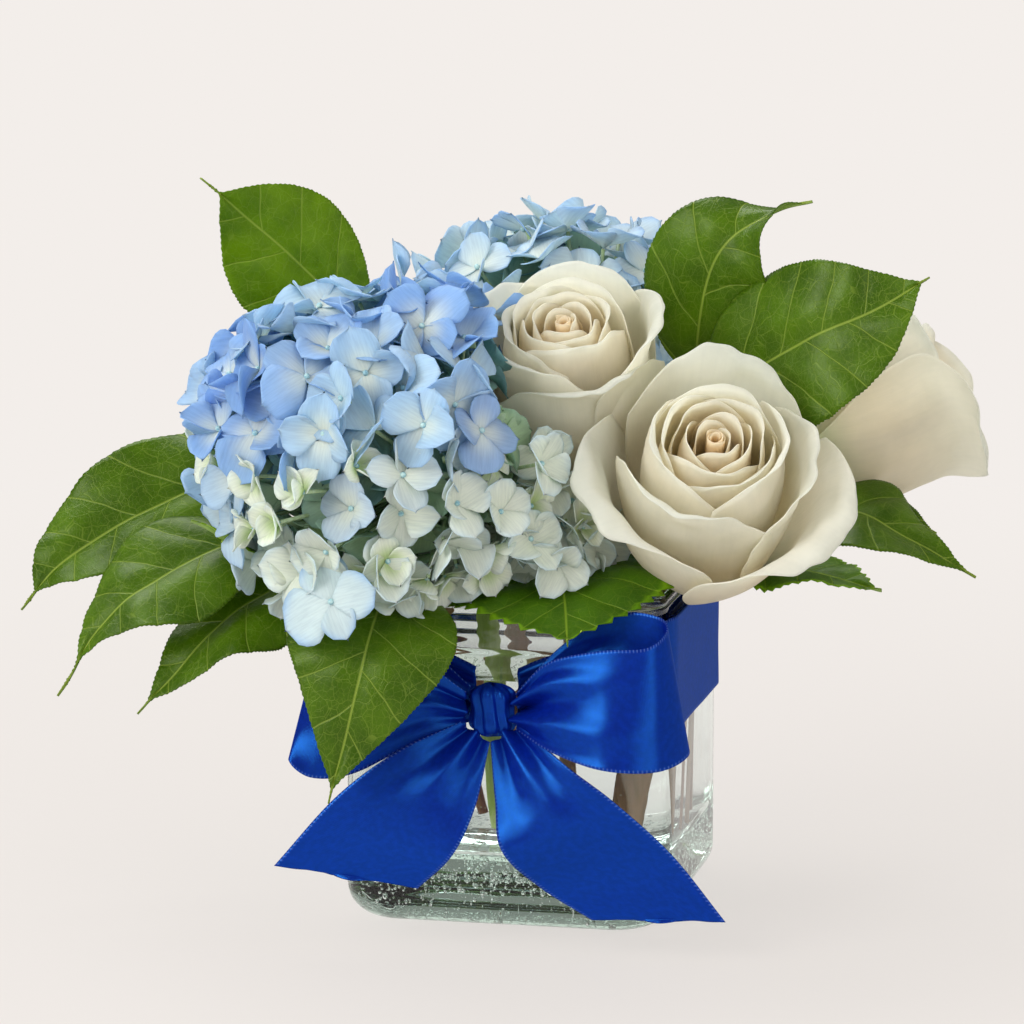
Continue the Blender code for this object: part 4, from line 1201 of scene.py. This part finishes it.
def build_stage():
    """A floor of pale paper that glows softly, in part beside the vase and fully away from it, as a lit
    studio sweep does; the glow beside the vase is painted light on its shadows.
    """
    s = Shader("floor_paper")
    place = s.place()
    grain = s.noise(place, 220.0, 4.0)
    colour = s.mix(grain, (0.515, 0.487, 0.464), (0.535, 0.507, 0.484))
    body = s.principled(Base_Color=colour, Roughness=0.55, Specular_IOR_Level=0.25)
    glow = s.node("ShaderNodeEmission", Color=(*BACKDROP, 1.0))
    away = s.node("ShaderNodeVectorMath", {"operation": "LENGTH"})
    s.feed(away.inputs[0], place)
    spread = s.ramp(away.outputs["Value"], GLOW_STARTS, GLOW_IS_FULL)
    # Painted light: even beside the vase the floor glows at LEAST_GLOW, which lightens the shadows cast on
    # it.
    fade = s.math("MULTIPLY_ADD", spread, 1.0 - LEAST_GLOW, LEAST_GLOW)
    mixed = s.node("ShaderNodeMixShader", Fac=fade)
    s.tree.links.new(body.outputs[0], mixed.inputs[1])
    s.tree.links.new(glow.outputs[0], mixed.inputs[2])
    mesh = bpy.data.meshes.new("floor")
    corners = [(x * FLOOR_HALF, y * FLOOR_HALF, 0) for x, y in ((-1, -1), (1, -1), (1, 1), (-1, 1))]
    mesh.from_pydata(corners, [], [(0, 1, 2, 3)])
    mesh.materials.append(s.surface(mixed.outputs[0]))
    floor = bpy.data.objects.new("floor", mesh)
    bpy.context.scene.collection.objects.link(floor)


def add_lamp(name, place, target, size, power, colour=(1.0, 1.0, 1.0)):
    lamp = bpy.data.lights.new(name, "AREA")
    lamp.shape = "RECTANGLE"
    lamp.size, lamp.size_y = size
    lamp.energy = power
    lamp.color = colour
    thing = bpy.data.objects.new(name, lamp)
    thing.location = place
    thing.rotation_euler = (Vector(target) - Vector(place)).to_track_quat("-Z", "Y").to_euler()
    bpy.context.scene.collection.objects.link(thing)


def build_lights():
    aim = (0.0, 0.0, 0.12)
    add_lamp("key", (-0.95, -1.15, 0.90), aim, (0.95, 0.95), 17.5, (1.0, 0.995, 0.975))
    add_lamp("fill", (1.1, -1.3, 0.7), aim, (0.9, 0.9), 5.5)
    add_lamp("top", (-0.45, 0.50, 1.15), aim, (0.8, 0.7), 8.5)
    world = bpy.data.worlds.new("studio")
    world.use_nodes = True
    tree = world.node_tree
    background = tree.nodes["Background"]
    background.inputs["Color"].default_value = (*BACKDROP, 1.0)
    rays = tree.nodes.new("ShaderNodeLightPath")
    dimmer = tree.nodes.new("ShaderNodeMath")
    dimmer.operation = "MULTIPLY_ADD"
    dimmer.inputs[1].default_value = -REFLECTION_CUT
    dimmer.inputs[2].default_value = 1.0
    tree.links.new(rays.outputs["Is Glossy Ray"], dimmer.inputs[0])
    tree.links.new(dimmer.outputs[0], background.inputs["Strength"])
    bpy.context.scene.world = world


AZIMUTH, ELEVATION = math.radians(12.2), math.radians(10.4)
CAMERA_DISTANCE = 1.80
CAMERA_LENS = 204.5
CAMERA_TARGET = Vector((-0.0067, 0.0, 0.1205))


def build_camera():
    level = math.cos(ELEVATION)
    back = Vector((math.sin(AZIMUTH) * level, -math.cos(AZIMUTH) * level, math.sin(ELEVATION)))
    data = bpy.data.cameras.new("camera")
    data.lens = CAMERA_LENS
    camera = bpy.data.objects.new("camera", data)
    camera.location = CAMERA_TARGET + back * CAMERA_DISTANCE
    camera.rotation_euler = back.to_track_quat("Z", "Y").to_euler()
    bpy.context.scene.collection.objects.link(camera)
    bpy.context.scene.camera = camera


# ------------------------------------------------------------------ putting it together

FRESH = (0.42, 0.55, 0.12)
GREEN = (0.30, 0.46, 0.08)
OLIVE = (0.24, 0.32, 0.07)
BROWN = (0.30, 0.12, 0.06)
RUSSET = (0.32, 0.17, 0.07)

# Each stem: name, its place in the vase's neck, its points above that, its radius, its lower and upper tint
STEMS = (
    ("hydrangea_front_stem", (-14, -8), [mm(-17, -16, 122), FRONT_FORK], 3.3, FRESH, GREEN),
    ("hydrangea_back_stem", (-10, 12), [mm(-4, 24, 122), BACK_FORK], 3.1, BROWN, OLIVE),
    ("foliage_stem_back_left", (-36, 17), [mm(-43, 25, 128), mm(-51, 33, 158)], 1.6, BROWN, OLIVE),
    ("foliage_stem_left", (-38, -6), [mm(-46, -9, 110), mm(-57, -9, 113)], 1.6, BROWN, OLIVE),
    ("foliage_stem_front", (-26, -30), [mm(-27, -36, 108)], 1.5, BROWN, OLIVE),
    ("foliage_stem_back_right", (22, 30), [mm(35, 25, 124), mm(48, 20, 150)], 1.7, BROWN, OLIVE),
    ("foliage_stem_right", (42, 3), [mm(53, 11, 109), mm(76, 15, 118)], 1.7, BROWN, OLIVE),
)

# For each rose, its stem's place in the neck and its bend above that
ROSE_BENDS = (
    ((36, -8), (44, -2, 107.5)),
    ((12, 0), (13, 7, 118)),
    ((40, 14), (53, 17, 119)),
)


def build_stems(bark):
    for node, neck, points, radius, low, high in STEMS:
        patches = stem_patches(stem_route(*neck, points), radius * MM, low, high, joints=(0.2, 0.5, 0.78))
        finish_piece(patches.build(node + "_bark"), "stem", node, materials=[bark])


def build_rose_stems(bark):
    """The roses' stems, each with its hip and sepals."""
    for (neck, bend), (name, base, top, *_) in zip(ROSE_BENDS, ROSES):
        base, top = mm(*base), mm(*top)
        axis = unit(top - base)
        route = stem_route(*neck, [mm(*bend), base - axis * 7 * MM], 66)
        route = np.vstack([route, [base - axis * d * MM for d in (5.6, 4.2, 2.8, 1.6, 0.8)]])
        patches = stem_patches(route, 2.6 * MM, RUSSET, GREEN, swell=5.6 * MM, joints=(0.3, 0.62))
        add_sepals(patches, base - axis * 0.8 * MM, axis)
        finish_piece(patches.build(name + "_stem_bark"), "stem", name + "_stem", materials=[bark])


def add_sepals(patches, base, axis):
    """Five narrow green sepals that hang back from a rose's hip."""
    level, upper, ahead = axes_of(axis)
    u = np.linspace(0, 1, 12)
    v = np.linspace(-1, 1, 5)
    width = (2.6 * (1 - u) ** 0.8 + 0.15) * MM
    for k in range(5):
        angle = 2 * math.pi * k / 5 + 0.3
        outward = level * math.cos(angle) + upper * math.sin(angle)
        spine = base + outward * (5.0 + 9 * u)[:, None] * MM
        spine = spine + ahead * (-1.0 - 9 * u ** 1.5 + 4 * u)[:, None] * MM
        top = spine[:, None] + np.cross(ahead, outward) * (width[:, None] * v)[..., None]
        top = top + ahead * (0.5 * MM * v ** 2)[None, :, None]
        under = top - ahead * 0.5 * MM
        patches.add_closed(np.concatenate([top, under[:, ::-1]], axis=1), tint=(0.28, 0.42, 0.10))


def build_leaves():
    salal = [
        leaf_material("salal_upper", (0.034, 0.086, 0.0008), (0.072, 0.155, 0.0016), (0.36, 0.47, 0.07),
                      SALAL_VEIN_GAP, 0.25, 0.55),
        leaf_material("salal_under", (0.15, 0.25, 0.035), (0.21, 0.33, 0.055), (0.36, 0.46, 0.16),
                      SALAL_VEIN_GAP, 0.55, 0.4),
    ]
    broad = [
        leaf_material("hydrangea_leaf_upper", (0.030, 0.092, 0.001), (0.062, 0.160, 0.002),
                      (0.30, 0.44, 0.03), BROAD_VEIN_GAP, 0.38, 0.5),
        leaf_material("hydrangea_leaf_under", (0.16, 0.30, 0.05), (0.22, 0.38, 0.07), (0.40, 0.52, 0.18),
                      BROAD_VEIN_GAP, 0.6, 0.45),
    ]
    for node, spec in SALAL.items():
        build_leaf(node, spec, salal, BACKLIT_TINT if node == BACKLIT_LEAF else (1.0, 1.0, 1.0))
    for node, spec in HYDRANGEA_LEAVES.items():
        build_leaf(node, dict(spec, vein_gap=BROAD_VEIN_GAP), broad, pale_edge=True)


def rose_rooms():
    """The room of the front and the middle rose, and the room that keeps the middle one in view."""
    rooms = []
    for _, base, top, radius, *_ in ROSES[:2]:
        base, top = mm(*base), mm(*top)
        rooms.append(ellipsoid(base + (top - base) * 0.58, top - base, (radius + 11) * MM,
                               np.linalg.norm(top - base) * 0.66))
    rooms.append(ellipsoid(mm(19, -30, 174) + FRONTWARD * 30 * MM, FRONTWARD, 31 * MM, 60 * MM))
    return rooms


def build_flowers(bark):
    sepals = petal_material("hydrangea_sepal", 0.55, 0.42, 1500.0, 0.30, 0.10, (0.95, 1.0, 1.0))
    rose = petal_material("rose_petal", 0.50, 0.66, 700.0, 0.05, 0.06, (1.0, 0.998, 0.96))
    parts = (sepals, bead_material(), bark)
    rooms = rose_rooms()
    build_head("hydrangea_front", FRONT_HEAD + mm(1, 0, -4), FRONT_FORK, FRONT_FACING, radius=53 * MM,
               flatten=0.78, counts=(150, 80), look_at=front_look, keep_out=rooms, size=15.0 * MM,
               materials=parts, seed=5, extras=LOW_FLORETS, hanging=HANGING_FLORET)
    build_head("hydrangea_back", BACK_HEAD + mm(-13, 0, -5), BACK_FORK, BACK_FACING, radius=42 * MM,
               flatten=0.92, counts=(90, 45), look_at=back_look, keep_out=rooms[1:2], size=14.5 * MM,
               materials=parts, seed=9)
    for seed, spec in enumerate(ROSES):
        build_rose(*spec, rose, 100 * (seed + 1))


def build_bow():
    satin = satin_material()
    build_ribbon_knot(satin)
    build_ribbon_band(satin)
    for node, held, stations, pleats in RIBBON_STRIPS:
        lay_ribbon(node, *ribbon_grid(stations, pleats), held, "ribbon_knot_piece", satin)


build_camera()
build_lights()
build_stage()
bpy.context.scene.view_settings.view_transform = "Standard"
bark = stem_material()
glass = clear_material("pressed_glass", (0.97, 0.99, 0.985, 1.0), 1.5, absorbed=(0.36, 0.84, 0.62, 1.0),
                       density=5.4, bumps=0.12)
build_vase(glass)
build_water(clear_material("clear_water", (0.99, 1.0, 0.995, 1.0), 1.33))
build_stems(bark)
build_rose_stems(bark)
build_leaves()
build_flowers(bark)
build_bow()
